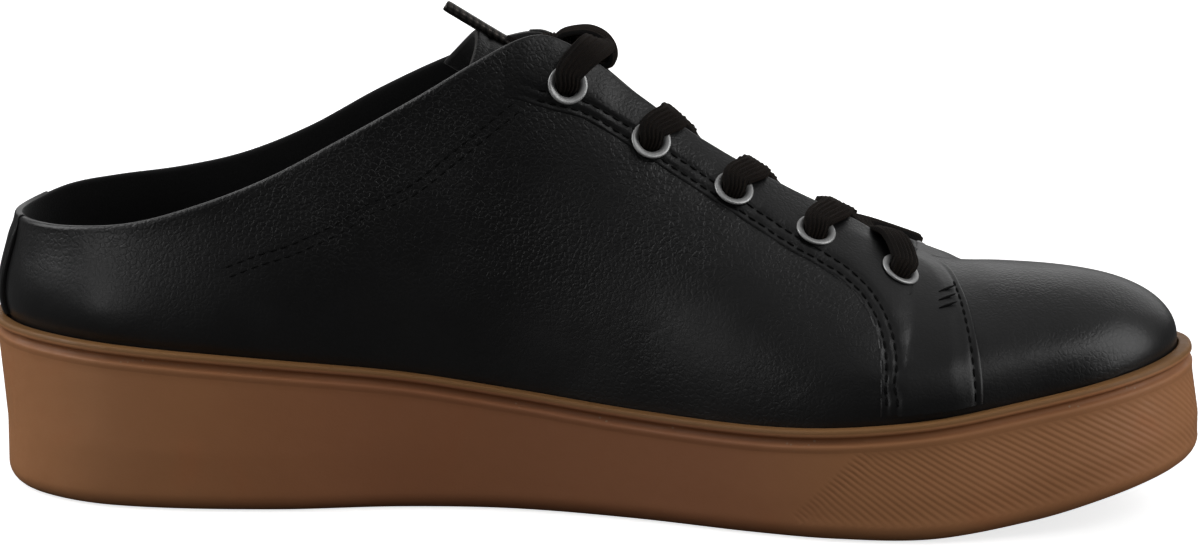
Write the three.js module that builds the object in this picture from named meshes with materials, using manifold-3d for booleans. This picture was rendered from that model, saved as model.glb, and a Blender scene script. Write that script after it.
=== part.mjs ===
// A mule with a laced front on a one-piece cup sole, a left shoe that stands empty on its sole.
// X runs from the heel to the toe, Y to the outer side of the foot and Z up, in millimetres.
// Lengths inside the tables are shares of the named size that their heading gives.
import * as THREE from 'three';
import Module from 'manifold-3d';
import { mergeVertices } from 'three/addons/utils/BufferGeometryUtils.js';

// Driving sizes of the sole
const soleLength = 268.5;
const ballWidth = 92;
const heelRim = 38;
const toeSpring = 12.5;
const bottomRound = 4;
const rimWidth = 2.4;
const wellDepth = 3;
const lipHeight = 1.7;
const lipStand = 0.4;
const grooveHeight = 1.7;
const grooveDepth = 0.5;
const beadHeight = 1.8;
const ribPitch = 2;
const ribDepth = 0.45;
const ribAngle = 37;
const ribFloor = 3.6;

// Driving sizes of the upper and of what lies in it
const instepHeight = 105;
const upperWall = 2;
const overlayWall = 1;
const tongueWall = 2;
const tongueRoom = 2.6;
const tongueRise = 24;
const tongueSlant = 12;
const insoleThickness = 4;
const backstayWidth = 24;
const clearance = 0.3;

// Driving sizes of the eyelets and the lace
const eyeletPairs = 5;
const eyeletInset = 9.5;
const eyeletFlange = 8.6;
const eyeletHole = 5.4;
const eyeletWall = 0.5;
const eyeletDome = 0.9;
const laceWidth = 7;
const laceThickness = 1.3;
const agletLength = 16;
const agletDiameter = 2.7;

// The sole in rows from heel to toe. share is of the length, axis and half of the ball width, rim of
// the rim's height at the heel, lift of the toe spring. rake is how far the foot of the side stands
// out past its rim, a share of the rim's width.
const soleTable = [
  { share: 0.00, axis: 0.000, half: 0.366, rim: 1.000, lift: 0.00, rake: -1.00 },
  { share: 0.05, axis: -0.004, half: 0.372, rim: 0.988, lift: 0.00, rake: 0.10 },
  { share: 0.12, axis: -0.006, half: 0.386, rim: 0.963, lift: 0.00, rake: 0.60 },
  { share: 0.26, axis: 0.016, half: 0.380, rim: 0.893, lift: 0.00, rake: 0.40 },
  { share: 0.36, axis: 0.060, half: 0.365, rim: 0.815, lift: 0.00, rake: 0.15 },
  { share: 0.45, axis: 0.086, half: 0.380, rim: 0.725, lift: 0.00, rake: 0.05 },
  { share: 0.55, axis: 0.080, half: 0.430, rim: 0.655, lift: 0.00, rake: 0.05 },
  { share: 0.65, axis: 0.049, half: 0.488, rim: 0.633, lift: 0.00, rake: 0.15 },
  { share: 0.72, axis: 0.022, half: 0.504, rim: 0.653, lift: 0.01, rake: 0.30 },
  { share: 0.80, axis: -0.003, half: 0.474, rim: 0.710, lift: 0.04, rake: 0.45 },
  { share: 0.88, axis: -0.022, half: 0.413, rim: 0.810, lift: 0.31, rake: 0.65 },
  { share: 0.94, axis: -0.031, half: 0.392, rim: 0.895, lift: 0.65, rake: 0.85 },
  { share: 1.00, axis: -0.040, half: 0.372, rim: 0.985, lift: 1.00, rake: 1.00 },
];
const heelRoundness = 7;
const toeRoundness = 7;

// The top edge of the upper, which is the collar, then the two sides of the throat, then the ridge of
// the toe where both sides meet. lean is its step along X from the sole's row, a share of the length.
// crest is its height on the inner side, a share of the instep, and drop how much lower the outer side
// is. axis and half place it across, as shares of the ball width.
const topTable = [
  { share: 0.00, lean: 0.019, crest: 0.570, drop: 0.000, axis: 0.000, half: 0.325 },
  { share: 0.03, lean: 0.016, crest: 0.571, drop: -0.020, axis: 0.000, half: 0.325 },
  { share: 0.07, lean: 0.012, crest: 0.575, drop: -0.028, axis: 0.000, half: 0.325 },
  { share: 0.13, lean: 0.006, crest: 0.592, drop: -0.028, axis: 0.004, half: 0.325 },
  { share: 0.19, lean: 0.002, crest: 0.636, drop: -0.020, axis: 0.008, half: 0.320 },
  { share: 0.25, lean: 0.000, crest: 0.700, drop: -0.024, axis: 0.010, half: 0.306 },
  { share: 0.31, lean: 0.000, crest: 0.782, drop: -0.030, axis: 0.010, half: 0.286 },
  { share: 0.37, lean: 0.000, crest: 0.868, drop: -0.022, axis: 0.005, half: 0.257 },
  { share: 0.42, lean: 0.000, crest: 0.945, drop: 0.002, axis: -0.008, half: 0.217 },
  { share: 0.455, lean: 0.000, crest: 0.991, drop: 0.025, axis: -0.016, half: 0.170 },
  { share: 0.475, lean: 0.000, crest: 0.994, drop: 0.046, axis: -0.020, half: 0.136 },
  { share: 0.50, lean: 0.000, crest: 0.958, drop: 0.050, axis: -0.022, half: 0.112 },
  { share: 0.54, lean: 0.000, crest: 0.876, drop: 0.048, axis: -0.022, half: 0.096 },
  { share: 0.60, lean: 0.000, crest: 0.768, drop: 0.048, axis: -0.022, half: 0.088 },
  { share: 0.67, lean: 0.000, crest: 0.668, drop: 0.044, axis: -0.022, half: 0.082 },
  { share: 0.73, lean: 0.000, crest: 0.598, drop: 0.030, axis: -0.024, half: 0.078 },
  { share: 0.775, lean: 0.000, crest: 0.538, drop: 0.008, axis: -0.028, half: 0.074 },
  { share: 0.82, lean: -0.019, crest: 0.515, drop: 0.000, axis: -0.034, half: 0.074 },
  { share: 0.88, lean: -0.052, crest: 0.512, drop: 0.000, axis: -0.040, half: 0.074 },
  { share: 0.94, lean: -0.087, crest: 0.510, drop: 0.000, axis: -0.044, half: 0.074 },
  { share: 1.00, lean: -0.122, crest: 0.507, drop: 0.000, axis: -0.047, half: 0.074 },
];
const throatEnd = 0.775;
const throatRound = 0.03;

// The girth of the upper from the rim to its top edge, a curve with two handles. swell is how far the
// lower handle stands out, a share of the ball width, and rise how high, a share of the wall's height.
// shoulder and fall place the upper handle from the top edge, as shares of the way out and down.
const girthTable = [
  { share: 0.00, swell: 0.034, rise: 0.34, shoulder: 0.10, fall: 0.34 },
  { share: 0.12, swell: 0.032, rise: 0.34, shoulder: 0.15, fall: 0.34 },
  { share: 0.26, swell: 0.024, rise: 0.36, shoulder: 0.25, fall: 0.34 },
  { share: 0.36, swell: 0.020, rise: 0.40, shoulder: 0.38, fall: 0.28 },
  { share: 0.46, swell: 0.018, rise: 0.44, shoulder: 0.52, fall: 0.16 },
  { share: 0.60, swell: 0.014, rise: 0.48, shoulder: 0.56, fall: 0.13 },
  { share: 0.72, swell: 0.010, rise: 0.50, shoulder: 0.50, fall: 0.14 },
  { share: 0.79, swell: 0.008, rise: 0.52, shoulder: 0.50, fall: 0.09 },
  { share: 0.88, swell: 0.008, rise: 0.57, shoulder: 0.56, fall: 0.02 },
  { share: 1.00, swell: 0.006, rise: 0.62, shoulder: 0.58, fall: 0.00 },
];

// Reads one column of a table at a share of the length, by a smooth cubic through its rows.
function reader(rows, name) {
  const slope = (i) => {
    const low = rows[Math.max(i - 1, 0)];
    const high = rows[Math.min(i + 1, rows.length - 1)];
    return (high[name] - low[name]) / (high.share - low.share);
  };
  return (share) => {
    let i = rows.length - 2;
    while (i > 0 && share < rows[i].share) i -= 1;
    const span = rows[i + 1].share - rows[i].share;
    const x = Math.min(Math.max((share - rows[i].share) / span, 0), 1);
    const rest = 1 - x;
    return rest * rest * ((1 + 2 * x) * rows[i][name] + x * span * slope(i))
      + x * x * ((1 + 2 * rest) * rows[i + 1][name] - rest * span * slope(i + 1));
  };
}
const sole = {};
for (const name of ['axis', 'half', 'rim', 'lift', 'rake']) sole[name] = reader(soleTable, name);
const top = {};
for (const name of ['lean', 'crest', 'drop', 'axis', 'half']) top[name] = reader(topTable, name);
const girth = {};
for (const name of ['swell', 'rise', 'shoulder', 'fall']) girth[name] = reader(girthTable, name);

// A turn goes round the shoe from the heel (0) along the inner side to the toe (half a turn) and back.
const fullTurn = Math.PI * 2;
const shareAt = (turn) => (1 - Math.cos(turn)) / 2;
const turnAt = (share, side) => (side < 0 ? Math.acos(1 - 2 * share) : fullTurn - Math.acos(1 - 2 * share));
const sideAt = (turn) => (Math.sin(turn) >= 0 ? -1 : 1);

// How full the outline is at a share of the length: zero at both ends, one between them.
function fullness(share) {
  const power = share < 0.5 ? heelRoundness : toeRoundness;
  return Math.sqrt(Math.max(1 - Math.abs(2 * share - 1) ** power, 0));
}

// The sole's outline at its rim, and the same line moved out by a distance.
function outline(turn) {
  const share = shareAt(turn);
  const half = sole.half(share) * fullness(share) * ballWidth;
  return new THREE.Vector2(share * soleLength, sole.axis(share) * ballWidth + sideAt(turn) * half);
}
function outwardAt(turn) {
  const step = 0.01;
  const along = outline(turn + step).sub(outline(turn - step)).normalize();
  return new THREE.Vector2(along.y, -along.x);
}
const outlineMoved = (turn, out) => outline(turn).addScaledVector(outwardAt(turn), out);
const rimAt = (turn) => sole.rim(shareAt(turn)) * heelRim;
const floorAt = (turn) => sole.lift(shareAt(turn)) * toeSpring;

// The turns at which a ring has its points, close together at heel and toe and at the named shares.
function ringTurns(count, shares) {
  const half = shares.map((share) => turnAt(share, -1));
  for (let i = 0; i <= count; i += 1) {
    const turn = (Math.PI * i) / count;
    if (shares.every((share) => Math.abs(turnAt(share, -1) - turn) > 0.6 / count)) half.push(turn);
  }
  half.sort((a, b) => a - b);
  return [...half, ...half.slice(1, -1).reverse().map((turn) => fullTurn - turn)];
}

const roundTurns = ringTurns(
  27, [0.44, 0.457, 0.475, 0.493, 0.745, throatEnd - 0.012, throatEnd - 0.003, throatEnd],
);

// Mesh helpers: a body is a list of triangles, each of three points.
function bodyGeometry(triangles) {
  const positions = new Float32Array(triangles.length * 9);
  triangles.flat().forEach((point, i) => point.toArray(positions, i * 3));
  const geometry = new THREE.BufferGeometry();
  geometry.setAttribute('position', new THREE.BufferAttribute(positions, 3));
  return mergeVertices(geometry, 1e-3);
}
function addFace(triangles, a, b, c) {
  const area = b.clone().sub(a).cross(c.clone().sub(a)).length();
  if (area > 1e-6) triangles.push([a, b, c]);
}
// Joins two rings of points, each { turn, point }, that go round the same way with their own spacing.
function zipRings(triangles, lower, upper) {
  let i = 0;
  let j = 0;
  const turnOf = (ring, k) => ring[k % ring.length].turn + (k >= ring.length ? fullTurn : 0);
  const pointOf = (ring, k) => ring[k % ring.length].point;
  while (i < lower.length || j < upper.length) {
    const lowerNext = i < lower.length ? turnOf(lower, i + 1) : Infinity;
    const upperNext = j < upper.length ? turnOf(upper, j + 1) : Infinity;
    if (lowerNext <= upperNext) {
      addFace(triangles, pointOf(lower, i), pointOf(lower, i + 1), pointOf(upper, j));
      i += 1;
    } else {
      addFace(triangles, pointOf(lower, i), pointOf(upper, j + 1), pointOf(upper, j));
      j += 1;
    }
  }
}
// Closes a ring of the ringTurns kind across, from the inner side to the outer.
function capRing(triangles, ring, facingUp) {
  const count = ring.length;
  const at = (k) => ring[((k % count) + count) % count].point;
  for (let i = 0; i < count / 2; i += 1) {
    const corners = [at(i), at(i + 1), at(-i - 1), at(-i)];
    if (!facingUp) corners.reverse();
    addFace(triangles, corners[0], corners[1], corners[2]);
    addFace(triangles, corners[0], corners[2], corners[3]);
  }
}
// A solid from an open skin of points in rows: the skin moved out and in along its own normals, and
// closed round every free edge.
function wallFromSkin(rows, closedRound, outside, inside) {
  const skin = [];
  for (let r = 0; r + 1 < rows.length; r += 1) {
    const count = rows[r].length;
    for (let c = 0; c < (closedRound ? count : count - 1); c += 1) {
      const next = (c + 1) % count;
      addFace(skin, rows[r][c], rows[r][next], rows[r + 1][next]);
      addFace(skin, rows[r][c], rows[r + 1][next], rows[r + 1][c]);
    }
  }
  const geometry = bodyGeometry(skin);
  geometry.computeVertexNormals();
  const moved = (i, distance) => {
    const normal = new THREE.Vector3().fromBufferAttribute(geometry.attributes.normal, i);
    const place = new THREE.Vector3().fromBufferAttribute(geometry.attributes.position, i);
    return place.addScaledVector(normal, distance);
  };
  const index = geometry.index.array;
  const triangles = [];
  const edges = new Map();
  for (let i = 0; i < index.length; i += 3) {
    const corner = [index[i], index[i + 1], index[i + 2]];
    triangles.push(corner.map((k) => moved(k, outside)));
    triangles.push([...corner].reverse().map((k) => moved(k, inside)));
    corner.forEach((from, k) => {
      const to = corner[(k + 1) % 3];
      if (edges.has(`${to} ${from}`)) edges.delete(`${to} ${from}`);
      else edges.set(`${from} ${to}`, [from, to]);
    });
  }
  for (const [from, to] of edges.values()) {
    const corners = [moved(from, inside), moved(to, inside), moved(to, outside), moved(from, outside)];
    triangles.push([corners[0], corners[1], corners[2]]);
    triangles.push([corners[0], corners[2], corners[3]]);
  }
  return bodyGeometry(triangles);
}

// Booleans on closed bodies
const wasm = await Module();
wasm.setup();
function toManifold(geometry) {
  const bare = geometry.clone();
  for (const name of Object.keys(bare.attributes)) if (name !== 'position') bare.deleteAttribute(name);
  const merged = mergeVertices(bare, 1e-3);
  const vertProperties = new Float32Array(merged.attributes.position.array);
  const triVerts = new Uint32Array(merged.index.array);
  return new wasm.Manifold(new wasm.Mesh({ numProp: 3, vertProperties, triVerts }));
}
function fromManifold(solid) {
  const mesh = solid.getMesh();
  const geometry = new THREE.BufferGeometry();
  geometry.setAttribute('position', new THREE.BufferAttribute(new Float32Array(mesh.vertProperties), 3));
  geometry.setIndex(new THREE.BufferAttribute(new Uint32Array(mesh.triVerts), 1));
  return geometry;
}
const cut = (body, tools) => fromManifold(
  tools.reduce((left, tool) => left.subtract(toManifold(tool)), toManifold(body)),
);
const crop = (body, tool) => fromManifold(toManifold(body).intersect(toManifold(tool)));
const join = (bodies) => fromManifold(bodies.map(toManifold).reduce((all, body) => all.add(body)));

// The outsole: flat bottom, rounded edge, raked side with a ribbed toe panel, bead, groove and lip, a
// rim and the well that the upper stands in.
const panelFoot = 0.668;
const panelHead = 0.752;
const panelTopDrop = lipHeight + grooveHeight + beadHeight;
function outsoleGeometry() {
  // A ring at a height over the floor or under the rim, moved out by a distance.
  const ring = (turns, place) => turns.map((turn) => {
    const { out, z } = place(turn);
    const level = (z - floorAt(turn)) / (rimAt(turn) - floorAt(turn));
    const rake = sole.rake(shareAt(turn)) * rimWidth * Math.min(1.6 * (1 - level), 1);
    const plan = outlineMoved(turn, out + rake);
    return { turn, point: new THREE.Vector3(plan.x, plan.y, z) };
  });
  const overFloor = (out, height) => ring(roundTurns, (turn) => ({ out, z: floorAt(turn) + height }));
  const underRim = (out, depth) => ring(roundTurns, (turn) => ({ out, z: rimAt(turn) - depth }));
  const bevel = bottomRound * (1 - Math.SQRT1_2);
  const rings = [
    overFloor(-bottomRound, 0),
    overFloor(-bevel, bevel),
    overFloor(0, bottomRound),
    ...ribRings(ring),
    underRim(0, panelTopDrop),
    underRim(lipStand, lipHeight + grooveHeight + beadHeight / 2),
    underRim(-grooveDepth, lipHeight + grooveHeight / 2),
    underRim(lipStand, lipHeight),
    underRim(lipStand, lipHeight / 3),
    underRim(0, 0),
    underRim(-rimWidth, 0),
    underRim(-rimWidth, wellDepth),
  ];
  const triangles = [];
  rings.slice(1).forEach((upper, i) => zipRings(triangles, rings[i], upper));
  capRing(triangles, rings[0], false);
  capRing(triangles, rings[rings.length - 1], true);
  return bodyGeometry(triangles);
}
// The rows of the ribbed band round the toe. Each rib is a crest and a trough, leaning forward as it
// goes down, and the panel ends at both sides in a slanting line.
function ribRings(ring) {
  const steps = [];
  let walked = 0;
  let last = outline(turnAt(panelFoot, -1));
  const lastTurn = turnAt(panelFoot, 1);
  const fineStep = 0.002;
  for (let turn = turnAt(panelFoot, -1); turn < lastTurn; turn += fineStep) {
    const here = outline(turn);
    walked += here.distanceTo(last);
    last = here;
    if (walked >= (steps.length * ribPitch) / 2) steps.push(turn);
  }
  const rear = roundTurns.filter((turn) => turn < steps[0] - 0.04 || turn > steps[steps.length - 1] + 0.04);
  const slant = 1 / Math.tan(THREE.MathUtils.degToRad(ribAngle));
  return [0, 0.5, 1].map((level) => {
    const columns = [
      ...rear.map((turn) => ({ turn, rib: 0 })),
      ...steps.map((turn, i) => ({ turn, rib: i % 2 })),
    ].map(({ turn, rib }) => {
      const height = rimAt(turn) - panelTopDrop - floorAt(turn) - ribFloor;
      const speed = outline(turn + 0.01).distanceTo(outline(turn - 0.01)) / 0.02;
      const share = shareAt(turn);
      const fade = Math.min(Math.max((share - panelFoot) / 0.02, 0), 1);
      const shifted = turn - (fade * slant * height * (level - 0.5)) / speed;
      const edge = panelFoot + (panelHead - panelFoot) * (0.2 + 0.7 * level);
      return { turn: shifted, rib: shareAt(shifted) > edge ? rib : 0 };
    }).sort((a, b) => a.turn - b.turn);
    const turns = columns.map((column) => column.turn);
    const ribs = new Map(columns.map((column) => [column.turn, column.rib]));
    return ring(turns, (turn) => {
      const low = floorAt(turn) + ribFloor;
      const high = rimAt(turn) - panelTopDrop - clearance;
      return { out: -ribDepth * ribs.get(turn), z: low + (high - low) * level };
    });
  });
}

// The upper's own function: a point at a turn round the shoe, a share up its side and a distance out.
const featherInset = rimWidth + clearance;
function topPoint(turn) {
  const share = shareAt(turn);
  const open = Math.min(Math.max((throatEnd - share) / throatRound, 0), 1);
  const round = Math.sqrt(1 - (1 - open) ** 2);
  const side = sideAt(turn);
  const wide = share < 0.5 ? fullness(share) : 1;
  const lower = side > 0 ? top.drop(share) * round : 0;
  return new THREE.Vector3(
    (share + top.lean(share)) * soleLength,
    (top.axis(share) + side * top.half(share) * wide * round) * ballWidth,
    (top.crest(share) - lower) * instepHeight,
  );
}
function upperSkin(turn, up) {
  const share = shareAt(turn);
  const foot = outlineMoved(turn, -featherInset);
  const out = outwardAt(turn);
  const start = new THREE.Vector3(foot.x, foot.y, rimAt(turn) + clearance);
  if (up < 0) return start.setZ(start.z + up * wellDepth);
  const end = topPoint(turn);
  const height = end.z - start.z;
  const swell = girth.swell(share) * ballWidth;
  const low = start.clone().add(new THREE.Vector3(out.x * swell, out.y * swell, girth.rise(share) * height));
  const high = new THREE.Vector3().lerpVectors(end, start, girth.shoulder(share));
  high.z = end.z - girth.fall(share) * height;
  return new THREE.CubicBezierCurve3(start, low, high, end).getPoint(up);
}
function upperPoint(turn, up, out) {
  const step = 0.004;
  const back = upperSkin(turn, Math.max(up - step, 0));
  const along = upperSkin(turn + step, up).sub(upperSkin(turn - step, up));
  const rise = upperSkin(turn, Math.min(up + step, 1)).sub(back);
  return upperSkin(turn, up).addScaledVector(along.cross(rise).normalize(), out);
}
const upperLevels = [-1, 0, 0.14, 0.31, 0.49, 0.67, 0.84, 1];

function upperGeometry(holes) {
  const rows = upperLevels.map((level) => roundTurns.map((turn) => upperSkin(turn, level)));
  return cut(wallFromSkin(rows, true, 0, -upperWall), holes);
}

// The overlays are one skin over the upper, a clearance out from it, cut to their outlines.
const overlayFoot = 0.03;
function overlaySkin() {
  const levels = upperLevels.map((level) => Math.max(level, overlayFoot)).slice(1);
  const rows = levels.map((level) => roundTurns.map((turn) => upperSkin(turn, level)));
  return wallFromSkin(rows, true, clearance + overlayWall, clearance);
}

// The eyestay: a facing along each side of the throat with a leg down to the sole. Its outline is read
// from the side: along is a share of the length and height of the instep.
const eyestayOutline = [
  { along: 0.751, height: 0.20 }, { along: 0.750, height: 0.330 }, { along: 0.747, height: 0.380 },
  { along: 0.742, height: 0.425 }, { along: 0.733, height: 0.464 }, { along: 0.718, height: 0.496 },
  { along: 0.698, height: 0.528 }, { along: 0.665, height: 0.573 }, { along: 0.628, height: 0.632 },
  { along: 0.587, height: 0.694 }, { along: 0.547, height: 0.757 }, { along: 0.506, height: 0.818 },
  { along: 0.478, height: 0.850 }, { along: 0.452, height: 0.868 }, { along: 0.440, height: 1.10 },
  { along: 0.600, height: 1.10 }, { along: 0.775, height: 0.60 }, { along: 0.777, height: 0.520 },
  { along: 0.790, height: 0.505 }, { along: 0.803, height: 0.478 }, { along: 0.814, height: 0.430 },
  { along: 0.821, height: 0.365 }, { along: 0.824, height: 0.20 },
];
function eyestayGeometry(side, holes) {
  const outlineShape = new THREE.Shape(eyestayOutline.map(
    ({ along, height }) => new THREE.Vector2(along * soleLength, height * instepHeight),
  ));
  const prism = new THREE.ExtrudeGeometry(outlineShape, { depth: ballWidth, bevelEnabled: false });
  const middle = top.axis(throatEnd) * ballWidth;
  prism.rotateX(Math.PI / 2).translate(0, side < 0 ? middle : middle + ballWidth, 0);
  return cut(crop(overlaySkin(), prism), holes);
}

// The backstay: a strip up the back of the heel from the rim to the collar.
function backstayGeometry() {
  const strip = new THREE.BoxGeometry(backstayWidth, backstayWidth, instepHeight * 2);
  return crop(overlaySkin(), strip);
}

// The insole lies on the well's floor inside the upper's wall.
function insoleGeometry() {
  const inset = featherInset + upperWall + 2 * clearance;
  const ring = (height) => roundTurns.map((turn) => {
    const plan = outlineMoved(turn, -inset);
    return { turn, point: new THREE.Vector3(plan.x, plan.y, rimAt(turn) - wellDepth + height) };
  });
  const rings = [ring(clearance), ring(clearance + insoleThickness)];
  const triangles = [];
  zipRings(triangles, rings[0], rings[1]);
  capRing(triangles, rings[0], false);
  capRing(triangles, rings[1], true);
  return bodyGeometry(triangles);
}

// The tongue: inside the throat it follows the upper from below, across the gap on an arch, and above
// the throat it runs back over the collar to a rounded end.
const tongueDepth = upperWall + tongueRoom;
function tongueRow(share) {
  const sidePoints = (side) => [0.66, 0.8, 0.92, 0.999].map(
    (up) => upperPoint(turnAt(share, side), up, -tongueDepth),
  );
  const inner = sidePoints(-1);
  const outer = sidePoints(1);
  const reach = inner[3].distanceTo(outer[3]) * 0.36;
  const handle = (points) => points[3].clone().sub(points[2]).setLength(reach).add(points[3]);
  const arch = new THREE.CubicBezierCurve3(inner[3], handle(inner), handle(outer), outer[3]);
  const bridge = [0.2, 0.4, 0.6, 0.8].map((part) => arch.getPoint(part));
  return [...inner, ...bridge, ...outer.reverse()];
}
// The free end in steps back from the last row in the throat, each blended by its level share from that
// row toward a level arch. back and climb are shares of the rise, bow is how far the arch's corners
// drop, a share of the rise too, and slant how much further back the outer corner lies.
const tongueEnd = [
  { level: 0.36, back: 0.25, climb: 0.10, bow: 0.60, slant: 0.00 },
  { level: 0.70, back: 0.50, climb: 0.13, bow: 0.54, slant: 0.20 },
  { level: 0.90, back: 0.72, climb: 0.19, bow: 0.48, slant: 0.50 },
  { level: 0.98, back: 0.88, climb: 0.28, bow: 0.45, slant: 0.80 },
  { level: 1.00, back: 1.00, climb: 0.37, bow: 0.44, slant: 1.00 },
];
const tongueEndWidth = 34.4;
const tongueStations = [0.815, 0.775, 0.74, 0.70, 0.66, 0.62, 0.58, 0.545, 0.51];
const tongueRows = tongueStations.map(tongueRow);
function addTongueEnd(rows) {
  const base = rows[rows.length - 1];
  const middle = base[5].clone().lerp(base[6], 0.5);
  for (const { level, back, climb, bow, slant } of tongueEnd) {
    rows.push(base.map((point, i) => {
      const across = (2 * i) / (base.length - 1) - 1;
      const corner = ((across + 1) / 2) ** 2;
      const arch = middle.clone();
      arch.y += (across * tongueEndWidth) / 2;
      arch.z += climb * tongueRise;
      arch.z -= bow * tongueRise * Math.abs(across) ** 1.7;
      const moved = point.clone().lerp(arch, level);
      moved.x -= back * tongueRise + slant * corner * tongueSlant;
      return moved;
    }));
  }
}
addTongueEnd(tongueRows);
const tongueGeometry = () => wallFromSkin(tongueRows, false, 0, -tongueWall);

// The eyelets, in pairs down the throat, each a domed ring with a barrel through both layers.
const eyeletSides = 10;
const eyeletFirst = 0.492;
const eyeletLast = 0.763;
const eyeletShare = (pair) => eyeletFirst + (eyeletLast - eyeletFirst) * pair / (eyeletPairs - 1);
function eyeletPlace(side, pair) {
  const turn = turnAt(eyeletShare(pair), side);
  const edge = upperSkin(turn, 1);
  let up = 1;
  while (upperSkin(turn, up).distanceTo(edge) < eyeletInset) up -= 0.005;
  const seat = upperPoint(turn, up, overlayWall + 2 * clearance);
  const outward = upperPoint(turn, up, 2).sub(upperPoint(turn, up, 0)).normalize();
  return { seat, outward };
}
function standOn(geometry, { seat, outward }) {
  const turned = new THREE.Quaternion().setFromUnitVectors(new THREE.Vector3(0, 1, 0), outward);
  return geometry.applyQuaternion(turned).translate(seat.x, seat.y, seat.z);
}
function eyeletGeometry(place) {
  const bore = eyeletHole / 2;
  const barrel = bore + eyeletWall;
  const flange = eyeletFlange / 2;
  const below = -(overlayWall + upperWall + 2 * clearance);
  const profile = [
    [bore, below], [barrel, below], [barrel, 0], [flange, 0],
    [(bore + flange) / 2, eyeletDome], [bore, 0.4 * eyeletDome], [bore, below],
  ].map(([radius, height]) => new THREE.Vector2(radius, height));
  return standOn(new THREE.LatheGeometry(profile, eyeletSides), place);
}
function holeGeometry(place) {
  const radius = eyeletHole / 2 + eyeletWall + clearance;
  return standOn(new THREE.CylinderGeometry(radius, radius, eyeletFlange * 2, eyeletSides), place);
}

// The lace is a flat cord. Below the top pair it comes out of the gap, crosses it and goes over the
// far facing down into the next eyelet, and the lowest crossing starts over the bottom eyelets.
// A spot on the lace is a point and the direction that its flat side faces.
const laceLift = overlayWall + 2 * clearance;
const edgeLift = laceLift + 0.8;
function gapSpot(side, share, part, depth) {
  const step = 0.01;
  const edge = topPoint(turnAt(share, side));
  const slope = topPoint(turnAt(share + step, side)).sub(topPoint(turnAt(share - step, side)));
  const facing = new THREE.Vector3(-slope.z, 0, slope.x).normalize();
  const point = edge.lerp(topPoint(turnAt(share, -side)), part).addScaledVector(facing, -depth);
  return { point, facing };
}
// A spot over the tongue, part of the way across it from the side given.
function tongueSpot(side, share, part, lift) {
  const across = new THREE.CatmullRomCurve3(tongueRow(share));
  const ahead = new THREE.CatmullRomCurve3(tongueRow(share + 0.01));
  const place = side < 0 ? part : 1 - part;
  const point = across.getPoint(place);
  const facing = across.getTangent(place).cross(point.clone().sub(ahead.getPoint(place))).normalize();
  return { point: point.addScaledVector(facing, lift), facing };
}
function facingSpot(side, share, lift) {
  const turn = turnAt(share, side);
  const point = upperPoint(turn, 0.985, lift);
  const facing = upperPoint(turn, 0.985, lift + 1).sub(point);
  return { point, facing };
}
function eyeletSpot(side, pair) {
  const { seat, outward } = eyeletPlace(side, pair);
  return { point: seat.addScaledVector(outward, eyeletDome + 0.9), facing: outward };
}
// A flat cord through spots, with its width square to its way and to the direction it faces.
function ribbonGeometry(spots, steps, width = laceWidth) {
  const way = new THREE.CatmullRomCurve3(spots.map(({ point }) => point), false, 'centripetal');
  const facings = new THREE.CatmullRomCurve3(spots.map(({ facing }) => facing));
  const rows = [];
  for (let i = 0; i <= steps; i += 1) {
    const along = way.getTangent(i / steps);
    const across = along.cross(facings.getPoint(i / steps)).normalize().multiplyScalar(width / 2);
    const point = way.getPoint(i / steps);
    rows.push([point.clone().sub(across), point.clone().add(across)]);
  }
  return wallFromSkin(rows, false, laceThickness, 0);
}
const arriveStep = 0.016;
const leaveStep = 0.014;
function crossingGeometry(pair) {
  const lower = eyeletShare(pair + 1);
  const upper = eyeletShare(pair);
  const lowest = pair === eyeletPairs - 2;
  const highest = pair === 0;
  const strand = (side) => {
    const middle = (lower + upper) / 2;
    if (highest) {
      return ribbonGeometry([
        tongueSpot(-side, lower - leaveStep, 0.38, 0.6), tongueSpot(side, middle + arriveStep / 2, 0.5, 0.6),
        tongueSpot(side, upper + 2 * arriveStep, 0.4, 0.6),
      ], 5);
    }
    const spots = lowest
      ? [eyeletSpot(-side, pair + 1), facingSpot(-side, lower - leaveStep, edgeLift)]
      : [tongueSpot(-side, lower - leaveStep, 0.38, 1)];
    spots.push(gapSpot(side, middle, 0.5, lowest ? -edgeLift : 0));
    spots.push(gapSpot(side, upper + arriveStep, 0.16, -edgeLift));
    spots.push(facingSpot(side, upper + arriveStep, edgeLift), eyeletSpot(side, pair));
    return ribbonGeometry(spots, spots.length * 2);
  };
  return join([strand(-1), strand(1)]);
}

// The tie: from the top eyelets the lace goes up over the facings to one round loop and a knot on the
// tongue, and one end runs back over the tongue's edge to its aglet. Its places are points chosen on
// the shoe, measured from the heel's back on the floor.
const knotPlace = new THREE.Vector3(127.3, 0.8, 100.4);
const knotSize = new THREE.Vector3(3.0, 3.8, 2.9);
const loopRoute = [
  [132.2, 99.8], [132.0, 101.6], [134.2, 103.0], [136.8, 102.4], [139.0, 100.4], [139.9, 98.2],
  [139.0, 97.2], [137.2, 98.0],
];
const loopAcross = -1;
const innerRise = new THREE.Vector3(138.4, -7.6, 101.6);
const outerRise = new THREE.Vector3(133.5, 7.4, 98.6);
const laceEndRoute = [
  new THREE.Vector3(123.9, 0.4, 100.6), new THREE.Vector3(120.8, -0.3, 100.1),
  new THREE.Vector3(117.6, -0.9, 100.6),
];
const agletTip = new THREE.Vector3(103.6, -1.6, 108.8);
const laceEndDiameter = 3;
function knotGeometry() {
  const ball = new THREE.SphereGeometry(1, 10, 6);
  return ball.scale(knotSize.x, knotSize.y, knotSize.z).translate(knotPlace.x, knotPlace.y, knotPlace.z);
}
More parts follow.
